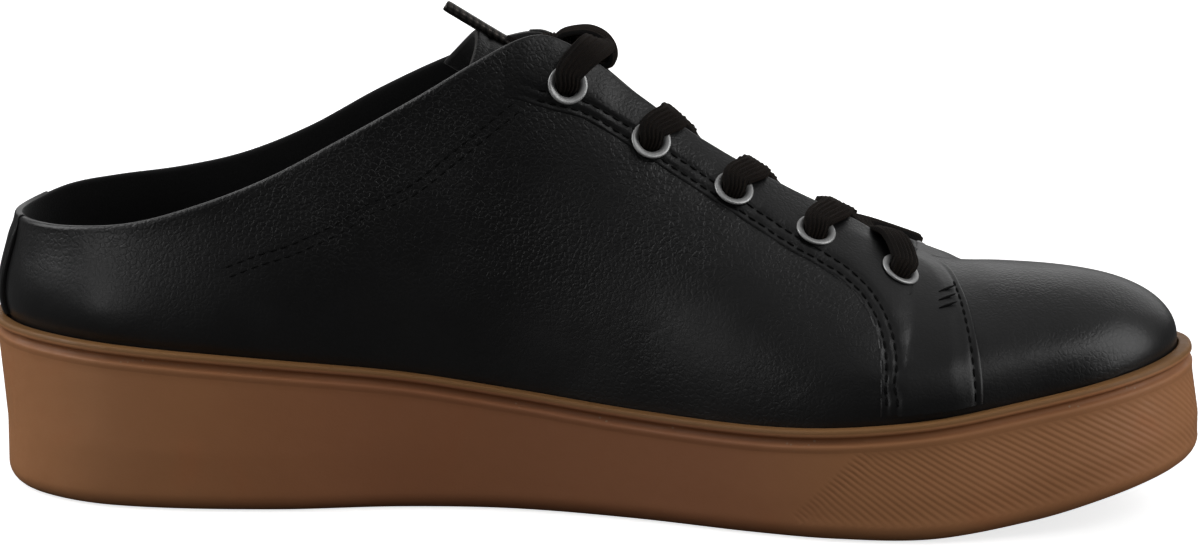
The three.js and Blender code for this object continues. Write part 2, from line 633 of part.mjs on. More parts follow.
function loopGeometry() {
  const middle = new THREE.Vector3(136, loopAcross, 99.3);
  const spots = loopRoute.map(([x, z]) => {
    const point = new THREE.Vector3(x, loopAcross, z);
    return { point, facing: point.clone().sub(middle).normalize() };
  });
  return ribbonGeometry(spots, 14);
}
function riseGeometry(side, end) {
  const over = facingSpot(side, eyeletShare(0) + arriveStep, edgeLift);
  const last = { point: end, facing: gapSpot(side, eyeletShare(0) + arriveStep, 0.3, 0).facing };
  return ribbonGeometry([eyeletSpot(side, 0), over, last], 6);
}
function roundCord(points, diameter, sides, steps) {
  const section = new THREE.Shape(Array.from({ length: sides }, (_, i) => {
    const angle = (fullTurn * i) / sides;
    return new THREE.Vector2(Math.cos(angle), Math.sin(angle)).multiplyScalar(diameter / 2);
  }));
  const path = new THREE.CatmullRomCurve3(points);
  return new THREE.ExtrudeGeometry(section, { steps, extrudePath: path, bevelEnabled: false });
}
const agletWay = agletTip.clone().sub(laceEndRoute[2]).normalize();
const agletEnds = [0, agletLength].map(
  (length) => laceEndRoute[2].clone().addScaledVector(agletWay, 2 * clearance + length),
);

// Materials
function finish(color, roughness, metalness = 0) {
  return new THREE.MeshStandardMaterial({ color, roughness, metalness });
}
const gumRubber = finish(0x9a6236, 0.6);
const blackLeather = finish(0x151517, 0.45);
const blackLining = finish(0x101012, 0.9);
const nickel = finish(0x8c8f93, 0.3, 1);
const blackCord = finish(0x0c0c0d, 0.85);
const agletPlastic = finish(0x2a2624, 0.2);

const group = new THREE.Group();
function addPart(name, geometry, material) {
  const mesh = new THREE.Mesh(geometry, material);
  mesh.name = name;
  group.add(mesh);
  return mesh;
}
const sides = [{ side: -1, word: 'inner' }, { side: 1, word: 'outer' }];
const places = sides.map(
  ({ side }) => Array.from({ length: eyeletPairs }, (_, pair) => eyeletPlace(side, pair)),
);
const holes = places.map((row) => row.map(holeGeometry));

const outsole = addPart('outsole', outsoleGeometry(), gumRubber);
addPart('insole', insoleGeometry(), blackLining);
addPart('upper', upperGeometry(holes.flat()), blackLeather);
addPart('tongue', tongueGeometry(), blackLeather);
addPart('backstay', backstayGeometry(), blackLeather);
sides.forEach(({ side, word }, i) => {
  addPart(`eyestay_${word}`, eyestayGeometry(side, holes[i]), blackLeather);
  places[i].forEach((place, pair) => addPart(`eyelet_${word}_${pair + 1}`, eyeletGeometry(place), nickel));
});

for (let pair = 0; pair < eyeletPairs - 1; pair += 1) {
  addPart(`lace_crossing_${pair + 1}`, crossingGeometry(pair), blackCord);
}

addPart('lace_knot', knotGeometry(), blackCord);
addPart('lace_loop', loopGeometry(), blackCord);
addPart('lace_rise_inner', riseGeometry(-1, innerRise), blackCord);
addPart('lace_rise_outer', riseGeometry(1, outerRise), blackCord);
addPart('lace_end', roundCord(laceEndRoute, laceEndDiameter, 8, 4), blackCord);
addPart('lace_aglet', roundCord(agletEnds, agletDiameter, 8, 1), agletPlastic);

// The origin is under the middle of the sole, on the floor.
outsole.geometry.computeBoundingBox();
const middle = outsole.geometry.boundingBox.getCenter(new THREE.Vector3());
group.position.set(-middle.x, -middle.y, 0);

export default group;
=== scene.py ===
"""A black leather mule with a laced front, a tongue and a one-piece gum cup sole, dressed over its solids.

Lengths inside the tables and functions are millimetres in the last's own frame: x from the heel's back to the toe,
y to the outer side of the foot, z up from the floor. place() carries them into the row frame in metres.
"""

import math

import bmesh
import bpy
import numpy as np
from bpy.props import FloatProperty, FloatVectorProperty, PointerProperty
from mathutils import Matrix


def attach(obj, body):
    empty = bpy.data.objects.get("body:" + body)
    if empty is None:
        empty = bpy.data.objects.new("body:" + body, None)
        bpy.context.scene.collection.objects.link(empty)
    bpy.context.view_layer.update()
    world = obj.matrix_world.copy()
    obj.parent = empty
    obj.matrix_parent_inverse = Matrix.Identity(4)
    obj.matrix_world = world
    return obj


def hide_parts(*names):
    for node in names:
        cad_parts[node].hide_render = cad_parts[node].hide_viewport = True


bl_info = {
    "name": "Laced Mule",
    "version": (1, 0, 0),
    "blender": (4, 5, 0),
    "location": "View3D > Sidebar > Mule",
    "description": "Builds a laced leather mule and a plain studio round it",
    "category": "Object",
}

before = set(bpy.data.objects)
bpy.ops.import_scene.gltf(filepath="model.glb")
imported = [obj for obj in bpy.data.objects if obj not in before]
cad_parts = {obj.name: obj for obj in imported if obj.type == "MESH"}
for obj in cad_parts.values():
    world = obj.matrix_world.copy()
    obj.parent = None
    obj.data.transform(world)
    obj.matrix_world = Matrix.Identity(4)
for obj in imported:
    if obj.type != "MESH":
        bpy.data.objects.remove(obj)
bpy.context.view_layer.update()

# Sizes of the last, the upper and the sole in millimetres, as in the solids
LENGTH = 268.5  # of the last
BALL = 92.0  # width over the ball
INSTEP = 105.0  # height of the instep, the unit of the top edge's heights
HEEL_RIM = 38.0  # height of the sole's rim at the heel
TOE_SPRING = 12.5  # how far the sole's tip stands off the floor
BOTTOM_ROUND = 4.0  # radius of the sole's bottom edge
RIM = 2.4  # width of the sole's rim round the upper
WELL = 3.0  # depth of the well inside the rim
WALL = 2.0  # thickness of the upper
OVERLAY = 1.0  # thickness of a facing or the heel strip
GAP = 0.3  # air between two solids
FEATHER = RIM + GAP
THROAT_END = 0.775  # where the throat ends, a share of the length
THROAT_ROUND = 0.03  # length of its round end, a share too
CENTRE = np.array([135.2786, 2.2790, 0.0])  # the row frame's origin

# Sizes that only the visible pieces have, in millimetres
HOLE = 3.2  # radius of a punched hole
EDGE_ROUND = 0.9  # radius of the upper's top edge
STRIP_HALF = 12.0  # half the heel strip's width
SEAM_ROWS = (1.5, 3.8)  # distances of a facing's two stitch rows from its seam
EDGE_ROW = 1.8  # distance of the row along a front edge
TONGUE_THICK = 2.0
TONGUE_FREE = 24  # length of the tongue past the throat
LACE_WIDTH = 7  # the width for which the lace's widths are written
EYELET_SHARES = np.linspace(0.492, 0.763, 5)  # shares of the length at which the pairs of eyelets sit
EYELET_INSETS = np.array([[9.3, 9.3], [9.0, 9.0], [9.3, 9.3], [10.4, 10.4], [12.0, 13.5]])  # from the throat's edge
TURN = 2 * math.pi


def table(columns, numbers):
    """A table of numbers with named columns, written row by row."""
    names = columns.split()
    rows = np.array(numbers.split(), float).reshape(-1, len(names))
    return dict(zip(names, rows.T))


def pairs(numbers):
    """Points of a line or a profile, two numbers each."""
    return np.array(numbers.split(), float).reshape(-1, 2)


SOLE = table(
    "share axis half rim lift rake",
    """0.00  0.000 0.366 1.000 0.00 -1.00   0.05 -0.004 0.372 0.988 0.00 0.10   0.12 -0.006 0.386 0.963 0.00 0.60
    0.26  0.016 0.380 0.893 0.00 0.40   0.36  0.060 0.365 0.815 0.00 0.15   0.45  0.086 0.380 0.725 0.00 0.05
    0.55  0.080 0.430 0.655 0.00 0.05   0.65  0.049 0.488 0.633 0.00 0.15   0.72  0.022 0.504 0.653 0.01 0.30
    0.80 -0.003 0.474 0.710 0.04 0.45   0.88 -0.022 0.413 0.810 0.31 0.65   0.94 -0.031 0.392 0.895 0.65 0.85
    1.00 -0.040 0.372 0.985 1.00 1.00""",
)
TOP = table(
    "share lean crest drop axis half",
    """0.00 0.019 0.581 0.000 0.000 0.325   0.03 0.016 0.582 -0.020 0.000 0.325   0.07 0.012 0.585 -0.028 0.000 0.325
    0.13 0.006 0.600 -0.028 0.004 0.325   0.19 0.002 0.641 -0.020 0.008 0.320   0.25 0 0.700 -0.024 0.010 0.306
    0.31 0 0.782 -0.030 0.010 0.286   0.37 0 0.868 -0.022 0.005 0.257   0.42 0 0.945 0.002 -0.008 0.217
    0.455 0 0.991 0.025 -0.016 0.170   0.475 0 0.994 0.046 -0.020 0.136   0.50 0 0.958 0.050 -0.022 0.112
    0.54 0 0.876 0.048 -0.022 0.096   0.60 0 0.768 0.048 -0.022 0.088   0.67 0 0.668 0.044 -0.022 0.082
    0.73 0 0.598 0.030 -0.024 0.078   0.775 0 0.538 0.008 -0.028 0.074   0.82 -0.019 0.515 0.000 -0.034 0.074
    0.88 -0.052 0.512 0 -0.040 0.074   0.94 -0.087 0.510 0 -0.044 0.074   1.00 -0.122 0.507 0 -0.047 0.074""",
)
GIRTH = table(
    "share swell rise shoulder fall",
    """0.00 0.034 0.34 0.10 0.34   0.12 0.032 0.34 0.15 0.34   0.26 0.024 0.36 0.25 0.34   0.36 0.020 0.40 0.38 0.28
    0.46 0.018 0.44 0.52 0.16   0.60 0.014 0.48 0.56 0.13   0.72 0.010 0.50 0.50 0.14   0.79 0.008 0.52 0.50 0.09
    0.88 0.008 0.57 0.56 0.02   1.00 0.006 0.62 0.58 0.00""",
)


def read(rows, name, share):
    """One column of a table at shares of the length: a cubic through its rows, with each row's slope that of the
    line through its two neighbours."""
    x, y = rows["share"], rows[name]
    low, high = np.maximum(np.arange(len(x)) - 1, 0), np.minimum(np.arange(len(x)) + 1, len(x) - 1)
    slope = (y[high] - y[low]) / (x[high] - x[low])
    i = np.clip(np.searchsorted(x, share, side="right") - 1, 0, len(x) - 2)
    span = x[i + 1] - x[i]
    t = np.clip((share - x[i]) / span, 0, 1)
    rest = 1 - t
    return rest**2 * ((1 + 2 * t) * y[i] + t * span * slope[i]) + t**2 * (
        (1 + 2 * rest) * y[i + 1] - rest * span * slope[i + 1]
    )


def unit(v):
    """Vectors at length one."""
    return v / np.maximum(np.linalg.norm(v, axis=-1, keepdims=True), 1e-9)


def smooth(x):
    """0 below 0, 1 above 1 and a soft step between, 3x^2 - 2x^3."""
    x = np.clip(x, 0, 1)
    return x * x * (3 - 2 * x)


def trough(distance, width):
    """A soft furrow across a distance: 1 in its middle, falling as a bell."""
    return np.exp(-((distance / width) ** 2))


def walk(line):
    """The distance walked along a line of points, from 0 at its first."""
    return np.concatenate([[0], np.cumsum(np.linalg.norm(np.diff(line, axis=0), axis=1))])


def through(points, count, closed=False):
    """count points on the uniform Catmull-Rom curve through points, along the first axis."""
    points = np.asarray(points, float)
    n = len(points)
    spans = n if closed else n - 1
    t = np.linspace(0, spans, count, endpoint=not closed)
    i = np.minimum(t.astype(int), spans - 1)
    f = (t - i).reshape((-1,) + (1,) * (points.ndim - 1))
    if closed:
        p = [points[(i + k) % n] for k in (-1, 0, 1, 2)]
    else:
        ends = np.concatenate([[2 * points[0] - points[1]], points, [2 * points[-1] - points[-2]]])
        p = [ends[i + k] for k in range(4)]
    return 0.5 * (
        2 * p[1] + (p[2] - p[0]) * f + (2 * p[0] - 5 * p[1] + 4 * p[2] - p[3]) * f**2
        + (3 * p[1] - p[0] - 3 * p[2] + p[3]) * f**3
    )


def evenly(points, count):
    """count points at equal distances along a line of points, whose place is in their first three numbers."""
    return spread(points, walk(points[:, :3]), count)


def spread(points, walked, count):
    """count points at equal distances along a line of points whose distances walked are given."""
    at = np.linspace(0, walked[-1], count)
    return np.stack([np.interp(at, walked, column) for column in points.T], 1)


# The last: a turn goes round the shoe from the heel (0) along the inner side to the toe (half a turn) and back.
def share_at(turn):
    """Share of the length at a turn: (1 - cos turn) / 2."""
    return (1 - np.cos(turn)) / 2


def turn_at(share, side):
    """The turn at a share of the length, on the inner side (-1) or the outer side (1)."""
    half = np.arccos(1 - 2 * np.asarray(share, float))
    return np.where(np.asarray(side) < 0, half, TURN - half)


def side_at(turn):
    """-1 on the inner side and 1 on the outer."""
    return np.where(np.sin(turn) >= 0, -1.0, 1.0)


def fullness(share):
    """How full the outline is: the root of 1 - |2 share - 1|^7."""
    return np.sqrt(np.maximum(1 - np.abs(2 * share - 1) ** 7, 0))


def outline(turn):
    """The sole's outline at its rim: the axis plus or minus the half width times the fullness."""
    share = share_at(turn)
    half = read(SOLE, "half", share) * fullness(share)
    return np.stack([share * LENGTH, (read(SOLE, "axis", share) + side_at(turn) * half) * BALL], -1)


def outward(turn):
    """The outline's outward direction: its tangent turned a quarter to the right."""
    along = unit(outline(turn + 0.01) - outline(turn - 0.01))
    return np.stack([along[..., 1], -along[..., 0]], -1)


def outline_moved(turn, out):
    """The outline moved outward by a distance."""
    return outline(turn) + outward(turn) * np.asarray(out)[..., None]


def rim_at(turn):
    """Height of the sole's rim."""
    return read(SOLE, "rim", share_at(turn)) * HEEL_RIM


def floor_at(turn):
    """Height of the sole's bottom over the floor, from the toe spring."""
    return read(SOLE, "lift", share_at(turn)) * TOE_SPRING


def top_point(turn):
    """The upper's top edge: the collar, the throat's two sides drawn together over a round end, then the toe's
    ridge."""
    share, side = share_at(turn), side_at(turn)
    open_ = np.clip((THROAT_END - share) / THROAT_ROUND, 0, 1)
    bow = np.sqrt(1 - (1 - open_) ** 2)
    wide = np.where(share < 0.5, fullness(share), 1)
    lower = np.where(side > 0, read(TOP, "drop", share) * bow, 0)
    return np.stack(
        [
            (share + read(TOP, "lean", share)) * LENGTH,
            (read(TOP, "axis", share) + side * read(TOP, "half", share) * wide * bow) * BALL,
            (read(TOP, "crest", share) - lower) * INSTEP,
        ],
        -1,
    )


def upper_skin(turn, up):
    """The upper's surface: at each turn a cubic curve from the foot inside the rim (up 0) to the top edge (up 1).
    Its lower handle stands out by the swell and its upper one lies back along the shoulder. Below 0 it goes straight
    down."""
    turn, up = np.broadcast_arrays(np.asarray(turn, float), np.asarray(up, float))
    share = share_at(turn)
    foot = outline_moved(turn, np.full(turn.shape, -FEATHER))
    start = np.concatenate([foot, (rim_at(turn) + GAP)[..., None]], -1)
    end = top_point(turn)
    height = end[..., 2] - start[..., 2]
    out = outward(turn) * (read(GIRTH, "swell", share) * BALL)[..., None]
    low = start + np.concatenate([out, (read(GIRTH, "rise", share) * height)[..., None]], -1)
    high = end + (start - end) * read(GIRTH, "shoulder", share)[..., None]
    high[..., 2] = end[..., 2] - read(GIRTH, "fall", share) * height
    t = np.clip(up, 0, 1)[..., None]
    s = 1 - t
    skin = s**3 * start + 3 * s * s * t * low + 3 * s * t * t * high + t**3 * end
    skin[..., 2] += np.minimum(up, 0) * WELL
    return skin


def upper_normal(turn, up):
    """The upper's outward direction, from the cross product of its two small steps."""
    up = np.clip(up, 0, 1)
    along = upper_skin(turn + 0.004, up) - upper_skin(turn - 0.004, up)
    rise = upper_skin(turn, np.minimum(up + 0.004, 1)) - upper_skin(turn, np.maximum(up - 0.004, 0))
    return unit(np.cross(along, rise))


def upper_at(turn, up, out):
    """A point a distance out from the upper's surface."""
    return upper_skin(turn, up) + upper_normal(turn, up) * np.asarray(out, float)[..., None]


def on_side(side, x, z):
    """The turn and the share up where the upper has a point at x and z, seen from one side, by Newton's steps."""
    x, z = np.asarray(x, float), np.asarray(z, float)
    rear, front, small = 0.02, 0.985, 1e-3
    share = np.clip(x / LENGTH, rear, front)
    up = np.full(x.shape, 0.6)
    for _ in range(14):
        p = upper_skin(turn_at(share, side), up)
        a = (upper_skin(turn_at(share + small, side), up) - p) / small
        b = (upper_skin(turn_at(share, side), up + small) - p) / small
        dx, dz = x - p[..., 0], z - p[..., 2]
        det = a[..., 0] * b[..., 2] - a[..., 2] * b[..., 0]
        det = np.where(np.abs(det) < small, small, det)
        share = np.clip(share + np.clip((dx * b[..., 2] - dz * b[..., 0]) / det, -0.08, 0.08), rear, front)
        up = np.clip(up + np.clip((a[..., 0] * dz - a[..., 2] * dx) / det, -0.3, 0.3), 0.0, 0.998)
    return turn_at(share, side), up


def near_line(x, z, line):
    """Signed distance to a line in the side view, positive to its left, and the distance walked along it."""
    start, step = line[:-1], np.diff(line, axis=0)
    size = np.linalg.norm(step, axis=1)
    walked = np.concatenate([[0], np.cumsum(size)])[:-1]
    rel = np.stack([x, z], -1)[..., None, :] - start
    t = np.clip((rel * step).sum(-1) / size**2, 0, 1)
    away = rel - t[..., None] * step
    gap = np.linalg.norm(away, axis=-1)
    cross = step[:, 0] * rel[..., 1] - step[:, 1] * rel[..., 0]
    nearest = gap.argmin(-1)[..., None]
    gap, cross, at = (np.take_along_axis(v, nearest, -1)[..., 0] for v in (gap, cross, walked + t * size))
    return gap * np.sign(cross), at


# Meshes from arrays
def grid_cells(rows, columns, wrap=False):
    """The four corners of each cell of a grid of points, round the way that faces outwards."""
    r, c = np.mgrid[0 : rows - 1, 0 : columns - (not wrap)]
    n = (c + 1) % columns
    return np.stack([r * columns + c, r * columns + n, (r + 1) * columns + n, (r + 1) * columns + c], -1)


def wall_cells(cells, keep, count, wrap):
    """A wall's faces from the cells of its outer grid: those kept, the same ones turned over on the inner grid, whose
    points follow the outer's, and a face across the wall at each free edge. Returns the faces and the number of each
    one's finish: 0 outside, 1 inside and 2 at an edge."""
    kept = cells[keep]
    padded = np.pad(keep, 1)
    if wrap:
        padded[1:-1, 0], padded[1:-1, -1] = keep[:, -1], keep[:, 0]
    rows, columns = keep.shape
    faces = [kept, kept[:, ::-1] + count]
    for (dr, dc), (i, j) in {(-1, 0): (0, 1), (0, 1): (1, 2), (1, 0): (2, 3), (0, -1): (3, 0)}.items():
        away = ~padded[1 + dr : 1 + dr + rows, 1 + dc : 1 + dc + columns]
        edge = cells[keep & away]
        a, b = edge[:, i], edge[:, j]
        faces.append(np.stack([a + count, b + count, b, a], 1))
    finish = np.full(sum(map(len, faces)), 2)
    finish[: 2 * len(kept)] = np.repeat([0, 1], len(kept))
    return np.concatenate(faces), finish


def rounded(distance, radius):
    """How far a surface draws back at a distance from its edge, so that the edge is a quarter round."""
    t = 1 - np.clip(distance / radius, 0, 1)
    return radius * (1 - np.sqrt(1 - t * t))


def place(points):
    """Points of the last's frame, in millimetres, as points of the row frame, in metres."""
    return (np.asarray(points, float).reshape(-1, 3) - CENTRE) / 1000


def piece(name, points, faces, materials, nodes, finish=None, uv=None, marks=None, angle=50):
    """A piece of the shoe from its points and four-cornered faces. finish is the number of each face's material, uv
    is one pair a point, and marks are named numbers, one a point. Doubles are welded."""
    points = place(points)
    faces = np.asarray(faces, np.int32).reshape(-1, 4)
    mesh = bpy.data.meshes.new(name)
    mesh.vertices.add(len(points))
    mesh.vertices.foreach_set("co", points.astype(np.float32).ravel())
    mesh.loops.add(faces.size)
    mesh.loops.foreach_set("vertex_index", faces.ravel())
    mesh.polygons.add(len(faces))
    mesh.polygons.foreach_set("loop_start", np.arange(0, faces.size, 4, dtype=np.int32))
    for material in materials:
        mesh.materials.append(material)
    if finish is not None:
        mesh.polygons.foreach_set("material_index", np.asarray(finish, np.int32))
    mesh.update(calc_edges=True)
    if uv is not None:
        layer = mesh.uv_layers.new(name="UVMap")
        layer.uv.foreach_set("vector", np.asarray(uv, np.float32)[faces.ravel()].ravel())
    for key, values in (marks or {}).items():
        mesh.attributes.new(name=key, type="FLOAT", domain="POINT").data.foreach_set(
            "value", np.asarray(values, np.float32).ravel()
        )
    work = bmesh.new()
    work.from_mesh(mesh)
    bmesh.ops.remove_doubles(work, verts=work.verts, dist=4e-6)
    bmesh.ops.dissolve_degenerate(work, edges=work.edges, dist=1e-7)
    work.to_mesh(mesh)
    work.free()
    mesh.shade_smooth()
    mesh.set_sharp_from_angle(angle=math.radians(angle))
    if not len(mesh.polygons):
        raise RuntimeError(f"{name} has no faces")
    piece_object = bpy.data.objects.new(name, mesh)
    bpy.context.scene.collection.objects.link(piece_object)
    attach(piece_object, "root")
    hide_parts(*nodes)
    return piece_object


def ribbon_grid(spots, facings, count, width, thick, rib_depth, ribs=6, ends=0.6, round_count=61):
    """A flat cord through spots, its flat side towards the facings. The section is a rounded bar: half width times
    cos to the power 0.75 and half thickness times the root of sin, with a small wave across for its ribs. It narrows
    to round ends. Width and thickness are one a spot. Returns points, cells, uv and the centreline."""
    ways = np.concatenate([spots, facings, np.stack([width, thick], 1)], 1)
    ways = evenly(through(ways, count * 8), count)
    line, face, wide, deep = ways[:, :3], unit(ways[:, 3:6]), ways[:, 6:7], ways[:, 7:8]
    along = unit(np.gradient(line, axis=0))
    across = unit(np.cross(along, face))
    up = unit(np.cross(across, along))
    a = np.linspace(0, TURN, round_count)
    x = np.sign(np.cos(a)) * np.abs(np.cos(a)) ** 0.75
    z = np.sign(np.sin(a)) * np.abs(np.sin(a)) ** 0.5 * (1 + rib_depth * np.cos(x * math.pi * ribs))
    walked = walk(line)
    edge = np.minimum(walked, walked[-1] - walked)[:, None]
    close = np.sqrt(1 - (1 - np.clip(edge / ends, 0, 1)) ** 2)
    points = line[:, None] + across[:, None] * (wide / 2 * close * x)[..., None]
    points = points + up[:, None] * (deep / 2 * close * z)[..., None]
    cells = grid_cells(count, round_count)[..., ::-1].reshape(-1, 4)
    v, u = np.broadcast_arrays(x * LACE_WIDTH / 2, walked[:, None])
    return points.reshape(-1, 3), cells, np.stack([u, v], -1).reshape(-1, 2), line


def joined(parts):
    """Several (points, faces) as one."""
    points, faces, shift = [], [], 0
    for p, f in parts:
        points.append(np.reshape(p, (-1, 3)))
        faces.append(np.asarray(f).reshape(-1, 4) + shift)
        shift += len(points[-1])
    return np.concatenate(points), np.concatenate(faces)


def stitch_rows(lines, pitch=2.5, length=1.9, wide=0.55, high=0.42):
    """Thread in stitches along lines, each line its points and normals. A stitch is a spindle, a sphere drawn out
    along the line and sunk at both ends, and all of them are one array."""
    a, b = np.meshgrid(np.linspace(0, math.pi, 7), np.linspace(0, TURN, 6, endpoint=False), indexing="ij")
    body = np.stack([np.cos(a) * length, np.sin(a) * np.cos(b) * wide, np.sin(a) * np.sin(b) * high], -1) / 2
    body = body.reshape(-1, 3)
    cells = grid_cells(7, 6, wrap=True).reshape(-1, 4)
    parts = []
    for points, normals in lines:
        count = max(int(walk(points)[-1] / pitch), 1)
        both = evenly(np.concatenate([points, normals], 1), 2 * count + 1)
        line, normal = both[:, :3], unit(both[:, 3:])
        mid, along = line[1::2], unit(line[2::2] - line[:-2:2])
        up = unit(normal[1::2])
        side = unit(np.cross(up, along))
        at = mid[:, None] + body[:, 0, None] * along[:, None] + body[:, 1, None] * side[:, None]
        at = at + body[:, 2, None] * up[:, None]
        shift = np.arange(len(mid))[:, None, None] * len(body)
        parts.append((at, cells[None] + shift))
    return joined(parts)


# Materials
def tinted(colour, *shares):
    """A colour times one share, or times one for each channel."""
    return tuple(c * k for c, k in zip(colour, shares * (3 // len(shares))))


class Tree:
    """A node material: node() adds a node with its inputs set or joined, and link() joins one to the shader."""

    def __init__(self, name, **shader):
        self.material = bpy.data.materials.new(name)
        self.material.use_nodes = True
        self.tree = self.material.node_tree
        self.shader = self.tree.nodes["Principled BSDF"]
        for key, value in shader.items():
            self.shader.inputs[key.replace("_", " ")].default_value = value

    def node(self, kind, inputs=None, **settings):
        made = self.tree.nodes.new(kind)
        for key, value in settings.items():
            setattr(made, key, value)
        for key, value in (inputs or {}).items():
            socket = made.inputs[key]
            if isinstance(value, bpy.types.NodeSocket):
                self.tree.links.new(value, socket)
            else:
                socket.default_value = value
        return made

    def link(self, socket, name):
        self.tree.links.new(socket, self.shader.inputs[name])

    def place(self):
        """Object coordinates in millimetres."""
        at = self.node("ShaderNodeTexCoord").outputs["Object"]
        return self.node("ShaderNodeMapping", {"Vector": at, "Scale": (1000.0,) * 3}).outputs[0]

    def noise(self, at, scale, detail=3.0, rough=0.5, warp=0.0):
        """Noise from 0 to 1, its scale in turns a millimetre."""
        inputs = {"Vector": at, "Scale": scale, "Detail": detail, "Roughness": rough, "Distortion": warp}
        return self.node("ShaderNodeTexNoise", inputs).outputs["Fac"]

    def ramp(self, value, low, high, first=0.0, last=1.0):
        """A soft step of a value from low to high, as numbers from first to last."""
        inputs = {"Value": value, "From Min": low, "From Max": high, "To Min": first, "To Max": last}
        return self.node("ShaderNodeMapRange", inputs, interpolation_type="SMOOTHSTEP").outputs["Result"]

    def sum(self, a, b, kind="ADD"):
        """Two values added, or joined in another way."""
        return self.node("ShaderNodeMath", {0: a, 1: b}, operation=kind).outputs[0]

    def times(self, a, b):
        """Two values multiplied."""
        return self.sum(a, b, "MULTIPLY")

    def blend(self, factor, a, b):
        """One colour at factor 0 and another at 1."""
        mix = self.node("ShaderNodeMix", {"Factor": factor}, data_type="RGBA")
        for socket, value in ((mix.inputs[6], a), (mix.inputs[7], b)):
            if isinstance(value, bpy.types.NodeSocket):
                self.tree.links.new(value, socket)
            else:
                socket.default_value = (*value[:3], 1)
        return mix.outputs[2]

    def bump(self, height, depth, strength=1.0, before=None):
        """Relief of a depth in millimetres."""
        inputs = {"Height": height, "Distance": depth / 1000, "Strength": strength}
        if before is not None:
            inputs["Normal"] = before
        return self.node("ShaderNodeBump", inputs).outputs["Normal"]


def leather_material(s, name="pebbled_leather", smoother=0.0, shade=1.0, shine=1.0):
    """Black pebbled leather under a thin coat: low pebbles parted by fine cracks, flatter in patches, at the heel
    and low down. The cracks are coloured darker than the pebbles' tops, painted shade, and a share under one darkens
    the whole colour of a copy, painted shade where the piece lies in shadow."""
    t = Tree(name, Coat_Weight=0.22 * shine, Coat_Roughness=0.30, Specular_IOR_Level=0.5 * shine)
    at = t.place()
    wander = t.node("ShaderNodeTexNoise", {"Vector": at, "Scale": 0.9, "Detail": 2.0}).outputs["Color"]
    bent = t.node("ShaderNodeVectorMath", {0: at, 1: wander}, operation="ADD").outputs[0]
    pebbles = t.node(
        "ShaderNodeTexVoronoi", {"Vector": bent, "Scale": 1 / s.grain, "Randomness": 0.9}, feature="DISTANCE_TO_EDGE"
    ).outputs["Distance"]
    tops = t.ramp(pebbles, 0.0, 0.28)
    fine = t.noise(at, 3.2, 3.0, 0.6)
    patches = t.ramp(t.noise(at, 0.035, 2.0), 0.34, 0.62, 0.45, 1.0)
    along, _, height_at = t.node("ShaderNodeSeparateXYZ", {0: at}).outputs[:3]
    patches = t.times(patches, t.ramp(along, -124.0, -98.0, 0.30, 1.0))
    patches = t.times(patches, t.ramp(height_at, 38.0, 66.0, 0.30, 1.0))
    height = t.sum(t.times(tops, patches), t.times(fine, 0.25))
    drum = t.noise(at, 0.11, 2.0, 0.5)
    normal = t.bump(height, s.grain_depth * (1 - smoother), 0.9, t.bump(drum, 0.30, 0.8))
    t.link(normal, "Normal")
    rubbed = t.sum(t.noise(at, 0.05, 3.0), t.times(tops, -0.10))
    t.link(t.ramp(rubbed, 0.2, 0.75, s.gloss, s.gloss + 0.13), "Roughness")
    # A share under one darkens this copy's colour: painted shade.
    base = tinted(s.colour, shade)
    # The cracks between the pebbles are coloured darker: painted shade in the recesses.
    t.link(t.blend(t.ramp(tops, 0.0, 0.5), tinted(base, 0.55), base), "Base Color")
    return t.material


def cut_edge_material():
    """The cut edge of leather: matt grey fibre with an uneven dye."""
    t = Tree("cut_edge", Specular_IOR_Level=0.35)
    at = t.place()
    fibre = t.noise(at, 2.6, 4.0, 0.65)
    t.link(t.blend(fibre, (0.012, 0.012, 0.012), (0.055, 0.051, 0.047)), "Base Color")
    t.link(t.ramp(fibre, 0.2, 0.8, 0.55, 0.8), "Roughness")
    t.link(t.bump(fibre, 0.12), "Normal")
    return t.material


def lining_material():
    """Black lining: a fine napped grain with a low sheen, a little uneven in tone."""
    t = Tree("lining_cloth", Specular_IOR_Level=0.25, Sheen_Weight=0.12, Sheen_Roughness=0.5)
    at = t.place()
    weave = t.times(t.noise(at, 2.4, 3.0, 0.65), t.ramp(t.noise(at, 0.05, 2.0), 0.3, 0.7, 0.75, 1.0))
    t.link(t.blend(weave, (0.0025, 0.0025, 0.0027), (0.010, 0.010, 0.0105)), "Base Color")
    t.link(t.ramp(weave, 0, 1, 0.95, 0.75), "Roughness")
    t.link(t.bump(weave, 0.10), "Normal")
    return t.material


def footbed_material():
    """The footbed's cover: smooth dark leather with small pores, a little worn in soft patches."""
    t = Tree("footbed_cover", Specular_IOR_Level=0.4)
    at = t.place()
    pores = t.node("ShaderNodeTexVoronoi", {"Vector": at, "Scale": 0.8, "Randomness": 1.0}).outputs["Distance"]
    worn = t.ramp(t.noise(at, 0.03, 2.0), 0.35, 0.65)
    t.link(t.blend(worn, (0.010, 0.010, 0.010), (0.022, 0.021, 0.020)), "Base Color")
    t.link(t.ramp(worn, 0, 1, 0.62, 0.48), "Roughness")
    t.link(t.bump(t.ramp(pores, 0.05, 0.3), 0.05, 0.8, t.bump(t.noise(at, 1.6), 0.05)), "Normal")
    return t.material


